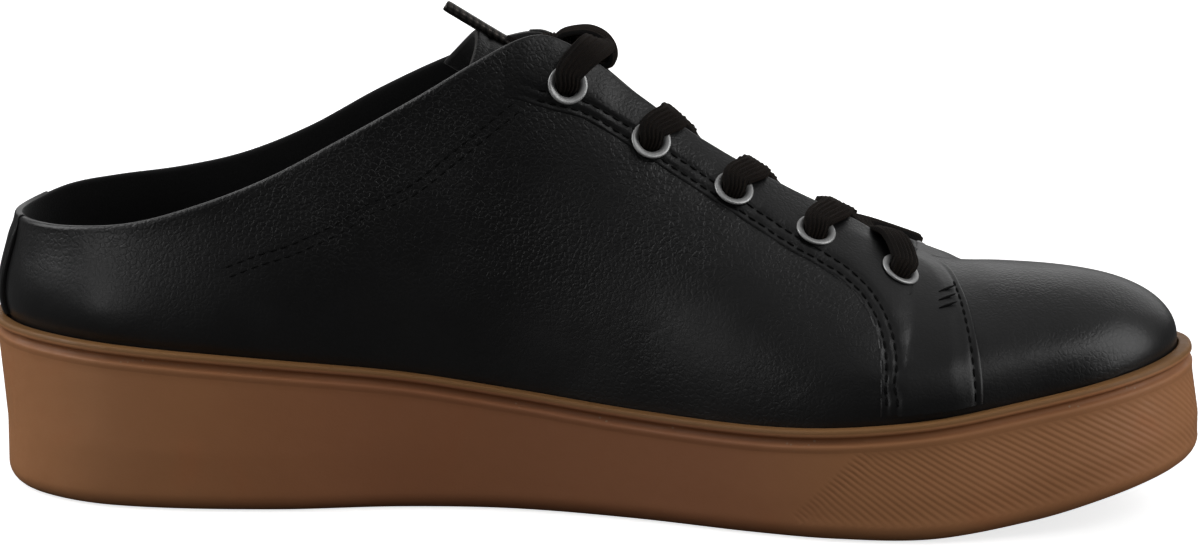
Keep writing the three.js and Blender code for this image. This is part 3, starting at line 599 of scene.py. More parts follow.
def gum_material(s):
    """Gum rubber: warm brown with cloudy tone, darker on the lip, with pale specks of dust caught in the groove and a
    fine mould grain. Painted shade darkens the waist, where less light falls, and the groove under the lip."""
    t = Tree("gum_rubber", Specular_IOR_Level=0.42, IOR=1.5)
    at, base = t.place(), s.colour
    along = t.node("ShaderNodeSeparateXYZ", {0: at}).outputs[0]
    groove, lip = (t.node("ShaderNodeAttribute", attribute_name=name).outputs["Fac"] for name in ("groove", "lip"))
    # Painted shade: the middle of the side is darkened where less light falls on it.
    waist = t.times(t.ramp(along, -95.0, -40.0), t.ramp(along, 28.0, 66.0, 1.0, 0.0))
    tone = t.blend(t.ramp(t.noise(at, 0.018, 3.0, 0.55), 0.3, 0.7), tinted(base, 0.90, 0.86, 0.84), base)
    for part, tint in (
        (t.ramp(t.noise(at, 0.055, 2.0, 0.5, 0.6), 0.55, 0.75, 0.0, 0.35), (1.0, 0.80, 0.72)),
        (t.times(waist, 0.75), (0.68, 0.58, 0.62)),
        # Painted shade in the groove under the lip.
        (t.times(groove, 0.62), (0.55, 0.48, 0.42)),
        (t.times(lip, 0.85), (0.47, 0.52, 0.38)),
    ):
        tone = t.blend(part, tone, tinted(base, *tint))
    specks = t.node("ShaderNodeTexVoronoi", {"Vector": at, "Scale": 0.62, "Randomness": 1.0}).outputs["Distance"]
    near = t.ramp(specks, 0.08, 0.24, 1.0, 0.0)
    some = t.ramp(t.noise(at, 0.09, 2.0), 0.47, 0.58)
    dust = t.times(t.times(near, some), groove)
    t.link(t.blend(t.times(dust, 0.75), tone, (0.42, 0.31, 0.21)), "Base Color")
    t.link(t.ramp(t.sum(t.noise(at, 0.35, 3.0), dust), 0.25, 1.0, 0.46, 0.80), "Roughness")
    t.link(t.bump(t.noise(at, 1.9, 4.0, 0.6), 0.03, 0.8, t.bump(t.noise(at, 0.10, 2.0), 0.35, 0.6)), "Normal")
    return t.material


def nickel_material():
    """Satin nickel plate: pale metal with fine hairline wear."""
    t = Tree("satin_nickel", Metallic=0.7)
    at = t.place()
    wear = t.noise(at, 1.4, 4.0, 0.6, 1.5)
    t.link(t.blend(wear, (0.42, 0.425, 0.43), (0.60, 0.60, 0.59)), "Base Color")
    t.link(t.ramp(wear, 0.3, 0.75, 0.36, 0.50), "Roughness")
    t.link(t.bump(wear, 0.02), "Normal")
    return t.material


def lace_material(s):
    """Flat woven lace: slanted picks in two directions along the cord, fuzzed brownish at grazing angles. Between the
    picks the yarn is coloured near black, painted shade, and its tone varies at random.
    """
    t = Tree("woven_lace", Specular_IOR_Level=0.2, Sheen_Weight=0.10, Sheen_Roughness=0.45)
    t.shader.inputs["Sheen Tint"].default_value = (0.55, 0.33, 0.20, 1)
    uv = t.node("ShaderNodeUVMap", uv_map="UVMap").outputs[0]
    picks = []
    for lean in (14.0, -14.0):
        at = t.node("ShaderNodeMapping", {"Vector": uv, "Scale": (1.35, lean, 1)}).outputs[0]
        wave = t.node("ShaderNodeTexWave", {"Vector": at, "Scale": 0.62}, bands_direction="DIAGONAL")
        picks.append(wave.outputs["Fac"])
    weave = t.sum(picks[0], picks[1], "MAXIMUM")
    fuzz = t.noise(t.place(), 4.0, 3.0, 0.7)
    # Painted shade: the yarn between the picks is coloured near black.
    t.link(t.blend(t.times(weave, fuzz), (0.0030, 0.0030, 0.0031), s.colour), "Base Color")
    t.link(t.ramp(fuzz, 0.2, 0.8, 0.78, 0.95), "Roughness")
    t.link(t.bump(weave, 0.14, 0.8, t.bump(fuzz, 0.10)), "Normal")
    return t.material


def thread_material():
    """Waxed black thread, twisted, so that its fine bands run across each stitch."""
    t = Tree("waxed_thread", Specular_IOR_Level=0.15)
    at = t.place()
    twist = t.noise(at, 3.0, 2.0, 0.5)
    t.link(t.blend(twist, (0.0012, 0.0012, 0.0012), (0.006, 0.006, 0.006)), "Base Color")
    t.link(t.ramp(twist, 0.3, 0.7, 0.75, 0.9), "Roughness")
    t.link(t.bump(twist, 0.08), "Normal")
    return t.material


def aglet_material():
    """A dark metal sleeve under a clear gloss, with faint rings where it was pressed."""
    t = Tree("aglet_sleeve", Metallic=0.9, Coat_Weight=1.0, Coat_Roughness=0.15, Specular_IOR_Level=0.6)
    at = t.place()
    rings = t.node("ShaderNodeTexWave", {"Vector": at, "Scale": 0.22, "Distortion": 2.5, "Detail": 2.0}).outputs["Fac"]
    t.link(t.blend(rings, (0.018, 0.016, 0.015), (0.10, 0.086, 0.076)), "Base Color")
    t.link(t.ramp(rings, 0, 1, 0.30, 0.22), "Roughness")
    t.link(t.bump(rings, 0.03), "Normal")
    return t.material


def floor_material(s):
    """Matt white paper with a barely uneven tone, lit from below as on a light table. Seen by the shoe it is grey."""
    t = Tree("studio_paper", Specular_IOR_Level=0.0, Roughness=1.0, Emission_Strength=0.80)
    lighter = tuple(min(c * 1.02, 1) for c in s.floor_colour)
    white = t.blend(t.noise(t.place(), 0.006, 2.0), s.floor_colour, lighter)
    seen = t.node("ShaderNodeLightPath").outputs["Is Camera Ray"]
    t.link(t.blend(seen, (s.floor_bounce,) * 3, white), "Base Color")
    t.link(t.blend(seen, (0, 0, 0), white), "Emission Color")
    return t.material


def tread_material(s):
    """The sole's bottom: the same rubber, darker, with a zigzag tread moulded into it. Its grooves are coloured darker
    than its bars, painted shade.
    """
    t = Tree("gum_tread", Specular_IOR_Level=0.4, Roughness=0.6)
    at = t.place()
    x, y = t.node("ShaderNodeSeparateXYZ", {0: at}).outputs[:2]
    zigzag = t.node("ShaderNodeMath", {0: y, 1: 5.0}, operation="PINGPONG").outputs[0]
    wave = t.node("ShaderNodeMath", {0: t.times(t.sum(x, zigzag), TURN / 6.0)}, operation="SINE").outputs[0]
    bars = t.ramp(wave, -0.35, 0.25)
    # Painted shade: the tread's grooves are coloured darker than its bars.
    t.link(t.blend(bars, tinted(s.colour, 0.5), tinted(s.colour, 0.85)), "Base Color")
    t.link(t.bump(bars, 1.2, 0.9, t.bump(t.noise(at, 1.5), 0.05)), "Normal")
    return t.material


# The sole
def half_turns(step, fine_from, fine_step):
    """Turns from heel to toe along the inner outline, a step apart in millimetres and finer past a share. The same
    turns mirrored make the outer side's."""
    turns = np.linspace(0, math.pi, 20001)
    walked = walk(outline(turns))
    split = np.interp(float(turn_at(fine_from, -1)), turns, walked)
    rear = np.linspace(0, split, int(split / step) + 1)[:-1]
    front = np.linspace(split, walked[-1], int((walked[-1] - split) / fine_step) + 1)
    half = np.interp(np.concatenate([rear, front]), walked, turns)
    return np.concatenate([half, TURN - half[1:-1][::-1]])


def to_axis(points, turns, part):
    """Points moved a part of the way across to the sole's middle line."""
    middle = read(SOLE, "axis", share_at(turns)) * BALL
    moved = points.copy()
    moved[..., 1] = points[..., 1] + (middle - points[..., 1]) * part
    return moved


SIDE_PROFILE = table(
    "out depth",
    """0.00 5.20   0.03 5.02   0.09 4.70   0.17 4.30   0.20 3.90   0.12 3.60   -0.14 3.40   -0.44 3.16   -0.62 2.80
    -0.68 2.50   -0.60 2.20   -0.40 1.92   -0.05 1.76   0.22 1.66   0.40 1.44   0.46 1.10   0.44 0.75   0.34 0.36
    0.16 0.12   -0.08 0.01   -0.45 0.00   -1.20 0.00   -1.90 0.00   -2.25 0.05   -2.40 0.25""",
)


def build_outsole(s):
    """The cup sole. Each column goes from the middle of the bottom out over the rounded edge, up the raked side with
    its ribs, over the bead, the groove and the lip, and down into the well to the middle again. A rib is a cosine of
    the distance walked along the outline, and the panel's columns lean as its ribs do. The panel starts at a small
    step, on a line that leans forward."""
    turns = half_turns(1.7, 0.63, s.rib_pitch / 6)
    walked = walk(outline(turns))
    speed = np.linalg.norm(outline(turns + 0.01) - outline(turns - 0.01), axis=1) / 0.02
    bend = np.linspace(0, math.pi / 2, 9)
    levels = np.linspace(0, 1, 20)
    panel_top, over_out, over_depth = SIDE_PROFILE["depth"][0], SIDE_PROFILE["out"][1:], SIDE_PROFILE["depth"][1:]
    out = np.concatenate([-BOTTOM_ROUND * (1 - np.sin(bend)), levels * 0, over_out])
    rise = np.concatenate([BOTTOM_ROUND * (1 - np.cos(bend)), BOTTOM_ROUND + levels * 0, over_out * 0])
    fall = np.concatenate([bend * 0, panel_top + levels * 0, over_depth])
    weight = np.concatenate([bend * 0, levels, over_out * 0 + 1])
    lean = np.concatenate([0.5 * bend / bend[-1], 0.5 - levels, np.linspace(-0.5, 0, len(over_out))])
    share = share_at(turns)
    tall = rim_at(turns) - floor_at(turns) - panel_top - BOTTOM_ROUND
    fade = smooth((share - 0.52) / 0.11)
    slant = 1 / math.tan(math.radians(s.rib_angle))
    at = turns + lean[:, None] * fade * slant * tall / speed
    low, high = floor_at(at) + rise[:, None], rim_at(at) - fall[:, None]
    z = low + (high - low) * weight[:, None]
    level = (z - floor_at(at)) / (rim_at(at) - floor_at(at))
    rake = read(SOLE, "rake", share_at(at)) * RIM * np.minimum(1.6 * (1 - level), 1)
    edge = 0.689 + 0.060 * weight[:, None]
    past = (share_at(at) - edge) * LENGTH
    panel = smooth((past - 1.2) / 0.8)
    step = 0.10 * smooth(past / 0.4) + 0.30 * trough(past - 0.1, 0.40)
    inside = smooth(weight * 14) * smooth((1 - weight) * 14)
    ribs = 0.5 - 0.5 * np.cos(walked * TURN / s.rib_pitch)
    plan = outline_moved(at, out[:, None] + rake - (s.rib_depth * ribs**1.6 * panel + step) * inside[:, None])
    side = np.concatenate([plan, z[..., None]], -1)
    bottom = np.stack([to_axis(side[0], turns, part) for part in (1.0, 0.72, 0.42, 0.18, 0.06)])
    well = side[-1].copy()
    well[:, 2] = rim_at(turns) - WELL
    top = np.stack([to_axis(well, turns, part) for part in (0.0, 0.15, 0.5, 1.0)])
    rows = np.concatenate([bottom, side, top])
    groove, lip = np.zeros(rows.shape[:2]), np.zeros(rows.shape[:2])
    first = len(bottom) + len(bend) + len(levels)
    groove[first : first + 13] = smooth((0.32 - over_out[:13]) / 0.8)[:, None]
    lip[first + 15 :] = 1
    faces = grid_cells(len(rows), len(turns), wrap=True)
    under = np.zeros(faces.shape[:2], int)
    under[: len(bottom)] = 1
    piece(
        "cup_sole", rows, faces, [gum_material(s), tread_material(s)], ["outsole"],
        under.ravel(), marks={"groove": groove, "lip": lip}, angle=60,
    )


# The upper and what is sewn on it
def ring_turns(half_count, closer):
    """Symmetrical turns round the shoe, half of them on each side, closer together near the shares given."""
    fine = np.linspace(0, math.pi, 6001)
    near = np.exp(-(((share_at(fine)[:, None] - np.array(closer)) / 0.012) ** 2)).sum(1)
    weight = np.concatenate([[0], np.cumsum((1 + 1.6 * near[:-1]) * np.diff(fine))])
    half = np.interp(np.linspace(0, weight[-1], half_count + 1), weight, fine)
    return np.concatenate([half, TURN - half[1:-1][::-1]])


def eyelet_places():
    """Where the ten eyelets sit: turn, up, point on the skin and outward direction, a pair a row. Each is the point
    on its column of the skin that lies its pair's inset from the throat's edge."""
    turn = np.stack([turn_at(EYELET_SHARES, -1), turn_at(EYELET_SHARES, 1)], 1)
    ups = np.linspace(1, 0.3, 1401)
    away = np.linalg.norm(upper_skin(turn[..., None], ups) - top_point(turn)[..., None, :], axis=-1)
    up = ups[(away >= EYELET_INSETS[..., None]).argmax(-1)]
    return turn, up, upper_skin(turn, up), upper_normal(turn, up)


def solid_cells(outer, cells):
    """True for each cell of a grid of points whose middle isn't in a punched hole."""
    return ~holes_at(outer.reshape(-1, 3)[cells].mean(-2))


def holes_at(points):
    """True where points lie within the punched holes, measured from each hole's own axis."""
    seats, normals = (v.reshape(-1, 3) for v in eyelet_places()[2:])
    rel = points[..., None, :] - seats
    deep = (rel * normals).sum(-1)
    away = np.linalg.norm(rel - deep[..., None] * normals, axis=-1)
    return ((away < HOLE) & (np.abs(deep) < 8)).any(-1)


# Lines of the side view: the seam behind the facing, the front edge of the facing's leg, the stitches of the collar
SEAM = pairs(
    """124.5 89.7   136.6 86.4   147.7 80.0   158.6 73.3   169.6 66.9   180.7 60.4   191.8 54.8   197.2 50.7
    200.2 46.6   202.1 41.5   202.6 36.0   202.7 30.0   202.7 24.0"""
)
FRONT_EDGE = pairs(
    "208.6 56.9   211.0 55.3   215.8 53.4   219.2 50.7   222.0 45.7   224.2 38.3   224.8 28.4   225.0 22.0"
)
COLLAR_LINE = pairs(
    """122.0 89.7   115.0 84.0   107.5 77.8   98.7 70.9   89.5 66.9   83.5 63.0
    73.2 58.3   65.9 55.9   58.7 53.1"""
)


def skin_relief(points):
    """The leather's soft shape beyond the last, out from the skin in millimetres: shallow pulls that run down from
    the seam, a furrow under the collar's stitches, and a gentle swell over the quarter."""
    x, z = points[..., 0], points[..., 2]
    away, walked = near_line(x, z, evenly(through(SEAM, 200), 60))
    pulls = np.sin(walked * TURN / 9.5 + 1.3 * np.sin(walked / 17)) * np.exp(-np.abs(away) / 5.5)
    collar, along = near_line(x, z, evenly(through(COLLAR_LINE, 200), 60))
    ends = smooth(along / 8) * smooth((72 - along) / 20)
    swell = np.sin(x / 13 + z / 9) * smooth((z - 40) / 20) * smooth((120 - x) / 40)
    return 0.08 * pulls - 0.10 * trough(collar, 1.5) * ends + 0.10 * swell


def build_upper(s):
    """The upper: the last's skin from the well to its top edge, as an outer and an inner face two millimetres apart.
    Both draw in to a half-round top edge, and the outer carries the relief. Past the throat's end the two sides'
    top rows are one line."""
    turns = ring_turns(230, (0.0, 0.455, THROAT_END))
    ups = np.concatenate([[-1, -0.5], 1 - (1 - np.linspace(0, 1, 66)) ** 1.25])
    ups[-4:] = 1 - np.array([0.014, 0.008, 0.0035, 0.0])
    grid = upper_skin(turns, ups[:, None])
    normal = upper_normal(turns, ups[:, None])
    gap = np.linalg.norm(grid - grid[-1], axis=-1)
    open_ = share_at(turns) < THROAT_END
    draw = np.where(open_, rounded(gap, EDGE_ROUND), 0)
    fade = smooth(gap / 4) * smooth(ups[:, None] * 8)
    outer = grid + normal * (skin_relief(grid) * fade - draw)[..., None]
    inner = grid + normal * (draw - WALL)[..., None]
    mirror = -np.arange(len(turns))
    for face in (outer, inner):
        face[-1, ~open_] = ((face[-1] + face[-1, mirror]) / 2)[~open_]
    cells = grid_cells(len(ups), len(turns), wrap=True)
    faces, finish = wall_cells(cells, solid_cells(outer, cells), outer.size // 3, True)
    corner = faces % (outer.size // 3)
    closed = (corner // len(turns) == len(ups) - 1) & ~open_[corner % len(turns)]
    ridge = (finish == 2) & closed.all(1)
    piece(
        "upper_skin", np.stack([outer, inner]), faces[~ridge],
        [leather_material(s), lining_material(), cut_edge_material()], ["upper"], finish[~ridge], angle=70,
    )


def eyestay_edges(side):
    """The two long edges of a facing on one side as (turn, up), matched row by row from its rear end to its foot: the
    throat's edge with the front edge of the leg, and the seam."""
    share = np.array([0.446, 0.478, 0.515, 0.555, 0.595, 0.635, 0.672, 0.705, 0.735, 0.757, 0.7745])
    throat = np.stack([turn_at(share, side), np.ones(len(share))], 1)
    front = np.stack(on_side(side, FRONT_EDGE[1:, 0], FRONT_EDGE[1:, 1]), 1)
    seam = through(SEAM, 400)
    seam = evenly(np.concatenate([[[119.0, 91.0]], seam]), 400)
    marks = np.array([0.0, 0.075, 0.165, 0.255, 0.345, 0.435, 0.515, 0.59, 0.65, 0.695, 0.73])
    marks = np.concatenate([marks, np.linspace(0.76, 1.0, len(front))])
    picked = seam[np.round(marks * 399).astype(int)]
    return np.concatenate([throat, front]), np.stack(on_side(side, picked[:, 0], picked[:, 1]), 1)


def facing_surface(side):
    """A facing's strip over the skin between its two edges, a blend of them across. It stands up from the skin by its
    own thickness, rolls over at its edges and dips under its rows of stitches. It thins out to the rear and, in its
    front half, towards the edge that isn't the seam. In its leg the skin is evened along the strip. Returns the skin,
    its normals, the lift and the distances from the seam and from the other edge."""
    near, far = eyestay_edges(side)
    rows, columns = 44, 300
    way = through(np.concatenate([near, far], 1), 2400)
    middle = upper_skin((way[:, 0] + way[:, 2]) / 2, (way[:, 1] + way[:, 3]) / 2)
    walked = walk(middle)
    way = spread(way, walked, columns)
    across = (1 - np.cos(np.linspace(0, math.pi, rows))) / 2
    across = 0.35 * across + 0.65 * np.linspace(0, 1, rows)
    turn = way[:, 2] + (way[:, 0] - way[:, 2]) * across[:, None]
    up = np.clip(way[:, 3] + (way[:, 1] - way[:, 3]) * across[:, None], 0.03, 1)
    if side > 0:
        turn, up = turn[::-1], up[::-1]
    skin, normal = upper_skin(turn, up), upper_normal(turn, up)
    seam_row, edge_row = (-1, 0) if side > 0 else (0, -1)
    from_seam = np.linalg.norm(skin - skin[seam_row], axis=-1)
    from_edge = np.linalg.norm(skin - skin[edge_row], axis=-1)
    share = np.linspace(0, 1, columns)
    even = skin
    for _ in range(220):
        even = (2 * even + np.roll(even, 1, 1) + np.roll(even, -1, 1)) / 4
    part = smooth(from_edge / 5) * smooth(from_seam / 4) * smooth((share - 0.55) / 0.1) * smooth((0.97 - share) / 0.1)
    skin = skin + (even - skin) * part[..., None]
    from_rear = np.linspace(0, walked[-1], columns) * np.ones((rows, 1))
    thick = (OVERLAY + GAP) * (0.16 + 0.84 * smooth((from_rear - 1) / 16))
    ahead = smooth((share - 0.54) / 0.12) * (0.62 if side < 0 else 0.97)
    leg = smooth((share - 0.72) / 0.05)
    thick = thick * (0.30 + 0.70 * smooth(from_seam / 7)) * (1 - ahead * (1 - smooth(from_edge / 7)))
    dips = 0.28 * (trough(from_seam - SEAM_ROWS[0], 0.55) + trough(from_seam - SEAM_ROWS[1], 0.55))
    dips = dips + 0.24 * leg * trough(from_edge - EDGE_ROW, 0.5)
    puff = 0.20 * np.sin(from_rear * TURN / 7.5 + 1.5 * np.sin(from_rear / 11)) * np.exp(-from_seam / 5)
    relief = (puff * 0.6 * smooth(from_seam / 1.5) - dips) * smooth(from_rear / 14)
    lift = thick - rounded(np.minimum(from_seam, from_edge), 0.55) * 1.1 + relief
    return skin, normal, lift, from_seam, from_edge


def build_eyestay(s, side, word):
    """A facing: its surface and an inner face on the skin, with its edges closed and the eyelets' holes left out."""
    skin, normal, lift = facing_surface(side)[:3]
    outer = skin + normal * lift[..., None]
    inner = skin + normal * np.minimum(0.02, lift - 0.08)[..., None]
    cells = grid_cells(*lift.shape)
    faces, finish = wall_cells(cells, solid_cells(outer, cells), lift.size, False)
    piece(
        f"facing_{word}", np.stack([outer, inner]), faces,
        [leather_material(s, "facing_leather", 0.45, 1.0, 0.92), cut_edge_material()], [f"eyestay_{word}"],
        finish == 2, angle=60,
    )


def build_backstay(s):
    """The strip up the back of the heel: at each height the skin between two lines twelve millimetres each side of
    the middle, raised by its thickness and rolled over at its edges. It thins to its top, which bends over the
    half-round top edge of the upper."""
    ups = np.concatenate([np.linspace(0.02, 0.968, 84), 1 - np.array([0.024, 0.017, 0.011, 0.006, 0.003, 0.001])])
    wide = np.linspace(-0.75, 0.75, 121)
    sweep = upper_skin(wide % TURN, ups[:, None])
    targets = -np.sin(np.linspace(-1, 1, 48) * 0.5 * math.pi) * STRIP_HALF
    turn = np.stack([np.interp(-targets, -row, wide) for row in sweep[..., 1]]) % TURN
    skin, normal = upper_skin(turn, ups[:, None]), upper_normal(turn, ups[:, None])
    from_side = np.minimum(*(np.linalg.norm(skin - skin[:, [k]], axis=-1) for k in (0, -1)))
    from_top = np.linalg.norm(skin - skin[-1], axis=-1)
    lift = OVERLAY + 0.1 - rounded(from_side, 0.6) - 0.22 * trough(from_side - EDGE_ROW, 0.5)
    lift = np.maximum(lift * (0.25 + 0.75 * smooth(from_top / 6)), 0.04)
    draw = rounded(from_top, EDGE_ROUND)
    outer, inner = skin + normal * (lift - draw)[..., None], skin + normal * (0.02 - draw)[..., None]
    outer[..., 2] += 0.3 * smooth(1 - from_top / 3)
    inner[-1] = skin[-1] - normal[-1] * 1.5 - np.array([0.0, 0.0, 0.1])
    cells = grid_cells(*lift.shape)
    faces, finish = wall_cells(cells, np.ones(cells.shape[:2], bool), lift.size, False)
    piece(
        "heel_strip", np.stack([outer, inner]), faces,
        [leather_material(s, "strip_leather", 0.5), lining_material()], ["backstay"], finish == 1, angle=60,
    )


# The tongue and the footbed
TONGUE_END = table(
    "level back climb bow slant",
    """0.36 0.25 0.10 0.60 0   0.70 0.50 0.13 0.54 0.20   0.90 0.72 0.19 0.48 0.50
    0.98 0.88 0.28 0.45 0.80   1 1 0.37 0.44 1""",
)


def tongue_row(share):
    """Twelve points across the tongue at a share of the length: down both inner faces of the throat and over the gap
    on a cubic arch that carries on from them."""
    ups = np.array([0.66, 0.8, 0.92, 0.999])
    inner = upper_at(turn_at(share, -1), ups, np.full(4, -4.6))
    outer = upper_at(turn_at(share, 1), ups, np.full(4, -4.6))
    reach = np.linalg.norm(inner[3] - outer[3]) * 0.36
    first = inner[3] + unit(inner[3] - inner[2]) * reach
    second = outer[3] + unit(outer[3] - outer[2]) * reach
    t = np.array([0.2, 0.4, 0.6, 0.8])[:, None]
    arch = (1 - t) ** 3 * inner[3] + 3 * (1 - t) ** 2 * t * first + 3 * (1 - t) * t**2 * second + t**3 * outer[3]
    return np.concatenate([inner, arch, outer[::-1]])


def tongue_rows():
    """The tongue's rows from its foot under the vamp to its free end, which blends into a level arch step by step."""
    rows = [tongue_row(share) for share in (0.815, 0.775, 0.74, 0.70, 0.66, 0.62, 0.58, 0.545, 0.51)]
    base = rows[-1]
    across = np.linspace(-1, 1, 12)
    corner = ((across + 1) / 2) ** 2
    for level, back, climb, bow, slant in zip(*TONGUE_END.values()):
        arch = np.tile((base[5] + base[6]) / 2, (12, 1))
        arch[:, 1] += across * 17.2
        arch[:, 2] += (climb - bow * np.abs(across) ** 1.7) * TONGUE_FREE
        moved = base + (arch - base) * level
        moved[:, 0] -= back * TONGUE_FREE + slant * corner * 9 - 3.0 * level**2 * (1 - across**2)
        moved[:, 2] -= level**8 * (1 - across**2) - 2 * level * (1 - level)
        rows.append(moved)
    return np.array(rows)


def build_tongue(s):
    """The tongue: a smooth sheet through its rows both ways, two millimetres thick, with raw rolled edges and a
    furrow a little way in from them."""
    across = np.moveaxis(through(np.moveaxis(tongue_rows(), 1, 0), 72), 0, 1)
    sheet = through(across, 130)
    normal = unit(np.cross(np.gradient(sheet, axis=1), np.gradient(sheet, axis=0)))
    ends = sheet[:, [0]], sheet[:, [-1]], sheet[-1]
    edge = np.min([np.linalg.norm(sheet - end, axis=-1) for end in ends], 0)
    roll = rounded(edge, 0.45)
    outer = sheet - normal * (0.25 * trough(edge - 3.2, 0.6) + roll)[..., None]
    inner = sheet + normal * (roll - TONGUE_THICK)[..., None]
    cells = grid_cells(*edge.shape)
    faces, finish = wall_cells(cells, np.ones(cells.shape[:2], bool), edge.size, False)
    # The tongue's leather is the upper's darkened to 0.9: painted shade under the laces and the aglet.
    piece(
        "tongue_sheet", np.stack([outer, inner]), faces,
        [leather_material(s, "tongue_leather", 0.3, 0.9, 0.45), lining_material(), cut_edge_material()],
        ["tongue"], finish, angle=60,
    )


FOOTBED_PROFILE = table(
    "out height part",
    """-4.80 0.10 1.0   -4.80 0.10 0.5   -4.80 0.10 0.0   -4.72 1.50 0   -4.72 3.00 0   -4.78 4.10 0   -5.00 4.70 0
    -5.50 5.00 0   -6.20 5.00 0   -7.20 4.75 0   -7.20 4.45 0.12   -7.20 4.20 0.3   -7.20 4.05 0.5   -7.20 4.00 0.75
    -7.20 4.00 1.0""",
)


def build_footbed():
    """The footbed: from the well's floor up the inside of the wall, over a rounded edge and across to the middle,
    dished by a share of its width."""
    turns = half_turns(2.2, 0.7, 2.2)
    rows = []
    for out, height, part in zip(*FOOTBED_PROFILE.values()):
        plan = outline_moved(turns, np.full(len(turns), out))
        ring = np.concatenate([plan, (rim_at(turns) - WELL + height)[:, None]], 1)
        rows.append(to_axis(ring, turns, part))
    faces = grid_cells(len(rows), len(turns), wrap=True)
    piece("footbed", np.array(rows), faces, [footbed_material()], ["insole"])


# Eyelets and thread
EYELET_PROFILE = pairs(
    """2.90 -2.9   2.90 0.0   2.95 1.15   4.10 1.15   4.36 1.20   4.44 1.36   4.40 1.56   4.26 1.70   4.06 1.75
    3.80 1.73   3.45 1.66   3.10 1.52   2.84 1.30   2.70 0.98   2.66 0.6   2.66 -2.6   2.74 -2.9   2.90 -2.9"""
)


def build_eyelets():
    """The ten eyelets: one profile turned about each one's axis, a broad flange that falls away into the hole and a
    barrel down through both layers. The profile is radius and height over the skin."""
    seats, normals = (v.reshape(-1, 3) for v in eyelet_places()[2:])
    radius, height = EYELET_PROFILE.T[..., None, None, None]
    a = np.linspace(0, TURN, 48, endpoint=False)[:, None, None]
    side = unit(np.cross(normals, [1.0, 0.0, 0.0]))
    points = seats + radius * (np.cos(a) * side + np.sin(a) * np.cross(side, normals)) + height * normals
    cells = grid_cells(len(radius), len(a), wrap=True).reshape(-1, 4)
    faces = cells + (np.arange(len(seats)) * len(radius) * len(a))[:, None, None]
    names = [f"eyelet_{word}_{pair}" for pair in range(1, 6) for word in ("inner", "outer")]
    piece("eyelet_rings", points.transpose(2, 0, 1, 3), faces, [nickel_material()], names)


def line_on_skin(side, line, out, count=240):
    """A line of the side view carried onto the skin: its points a distance out, and its normals."""
    turn, up = on_side(side, line[:, 0], line[:, 1])
    dense = through(np.stack([turn, up], 1), count)
    normal = upper_normal(dense[:, 0], dense[:, 1])
    return upper_skin(dense[:, 0], dense[:, 1]) + normal * out, normal


def line_on_facing(side, edge, away, first, last):
    """A line on a facing at a distance from its seam (edge 0) or its other edge (edge 1), between two shares of its
    length: points just above the leather, and normals."""
    skin, normal, lift, *gaps = facing_surface(side)
    both = np.concatenate([skin + normal * (lift + 0.10)[..., None], normal], -1)
    line = []
    for k in range(int(first * lift.shape[1]), int(last * lift.shape[1])):
        order = np.argsort(gaps[edge][:, k])
        line.append([np.interp(away, gaps[edge][order, k], both[order, k, n]) for n in range(6)])
    line = np.array(line)
    return line[:, :3], line[:, 3:]


def beside(line, away):
    """A line of the side view moved to its left by a distance."""
    dense = evenly(through(line, 300), 40)
    way = unit(np.gradient(dense, axis=0))
    return dense + np.stack([-way[:, 1], way[:, 0]], 1) * away


BAR_TACK = pairs("218.3 49.7   216.0 49.1   213.7 48.5")


def build_thread():
    """All stitches as one mesh: two rows inside each facing's seam, one behind its front edge, two faint rows below
    the collar, and the bar tack, whose stitches run its whole width."""
    rows, tacks = [], []
    for side, leg_from, tack_out in ((-1, 0.79, 1.10), (1, 0.83, 0.35)):
        rows += [line_on_facing(side, 0, away, 0.05, 0.985) for away in SEAM_ROWS]
        rows.append(line_on_facing(side, 1, EDGE_ROW, leg_from, 0.985))
        rows += [line_on_skin(side, beside(COLLAR_LINE, away), -0.11) for away in (-1.1, 1.1)]
        for away in (-1.2, 0.0, 1.2):
            tacks.append(line_on_skin(side, BAR_TACK + np.array([-0.25, 1.0]) * away, tack_out, 40))
    points, faces = joined([stitch_rows(rows), stitch_rows(tacks, 4.4, 4.8, 0.62, 0.5)])
    piece("thread", points, faces, [thread_material()], [], angle=80)


# The lace
def facing_spot(side, share, up, out):
    """A spot on a facing near the throat's edge: a point a distance out, and the skin's normal."""
    turn = turn_at(share, side)
    normal = upper_normal(turn, np.array(up))
    return upper_skin(turn, np.array(up)) + normal * out, normal


def gap_spot(side, share, part, height):
    """A spot between the throat's two edges, part of the way over from one side, and the direction it faces."""
    edge, far = top_point(turn_at(share, side)), top_point(turn_at(share, -side))
    slope = top_point(turn_at(share + 0.01, side)) - top_point(turn_at(share - 0.01, side))
    facing = unit(np.array([-slope[2], 0, slope[0]]))
    return edge + (far - edge) * part + facing * height, facing


def tongue_spot(side, share, part, lift):
    """A spot over the tongue, part of the way across it from one side, and the direction it faces."""
    here, ahead = through(tongue_row(share), 101), through(tongue_row(share + 0.01), 101)
    k = int(round((part if side < 0 else 1 - part) * 100))
    facing = unit(np.cross(here[k + 1] - here[k - 1], here[k] - ahead[k]))
    return here[k] + facing * lift, facing


def eyelet_spots(side, pair):
    """Spots that lead a lace over an eyelet's flange and down its hole. Pairs count from the top, from 0."""
    seats, normals = eyelet_places()[2:]
    seat, normal = seats[pair, int(side > 0)], normals[pair, int(side > 0)]
    edge = unit(top_point(turn_at(EYELET_SHARES[pair], side)) - seat)
    return [
        (seat + normal * 3.0 + edge * 2.6, normal),
        (seat + normal * 1.9 - edge * 0.1, unit(normal - edge * 0.7)),
        (seat - normal * 1.4 - edge * 0.9, unit(-edge + normal * 0.1)),
    ]


def free_spot(x, y, z, *facing):
    """A spot in the air and the direction that it faces, straight up unless one is given."""
    return np.array([x, y, z]), unit(np.array(facing or (0.0, 0.0, 1.0)))


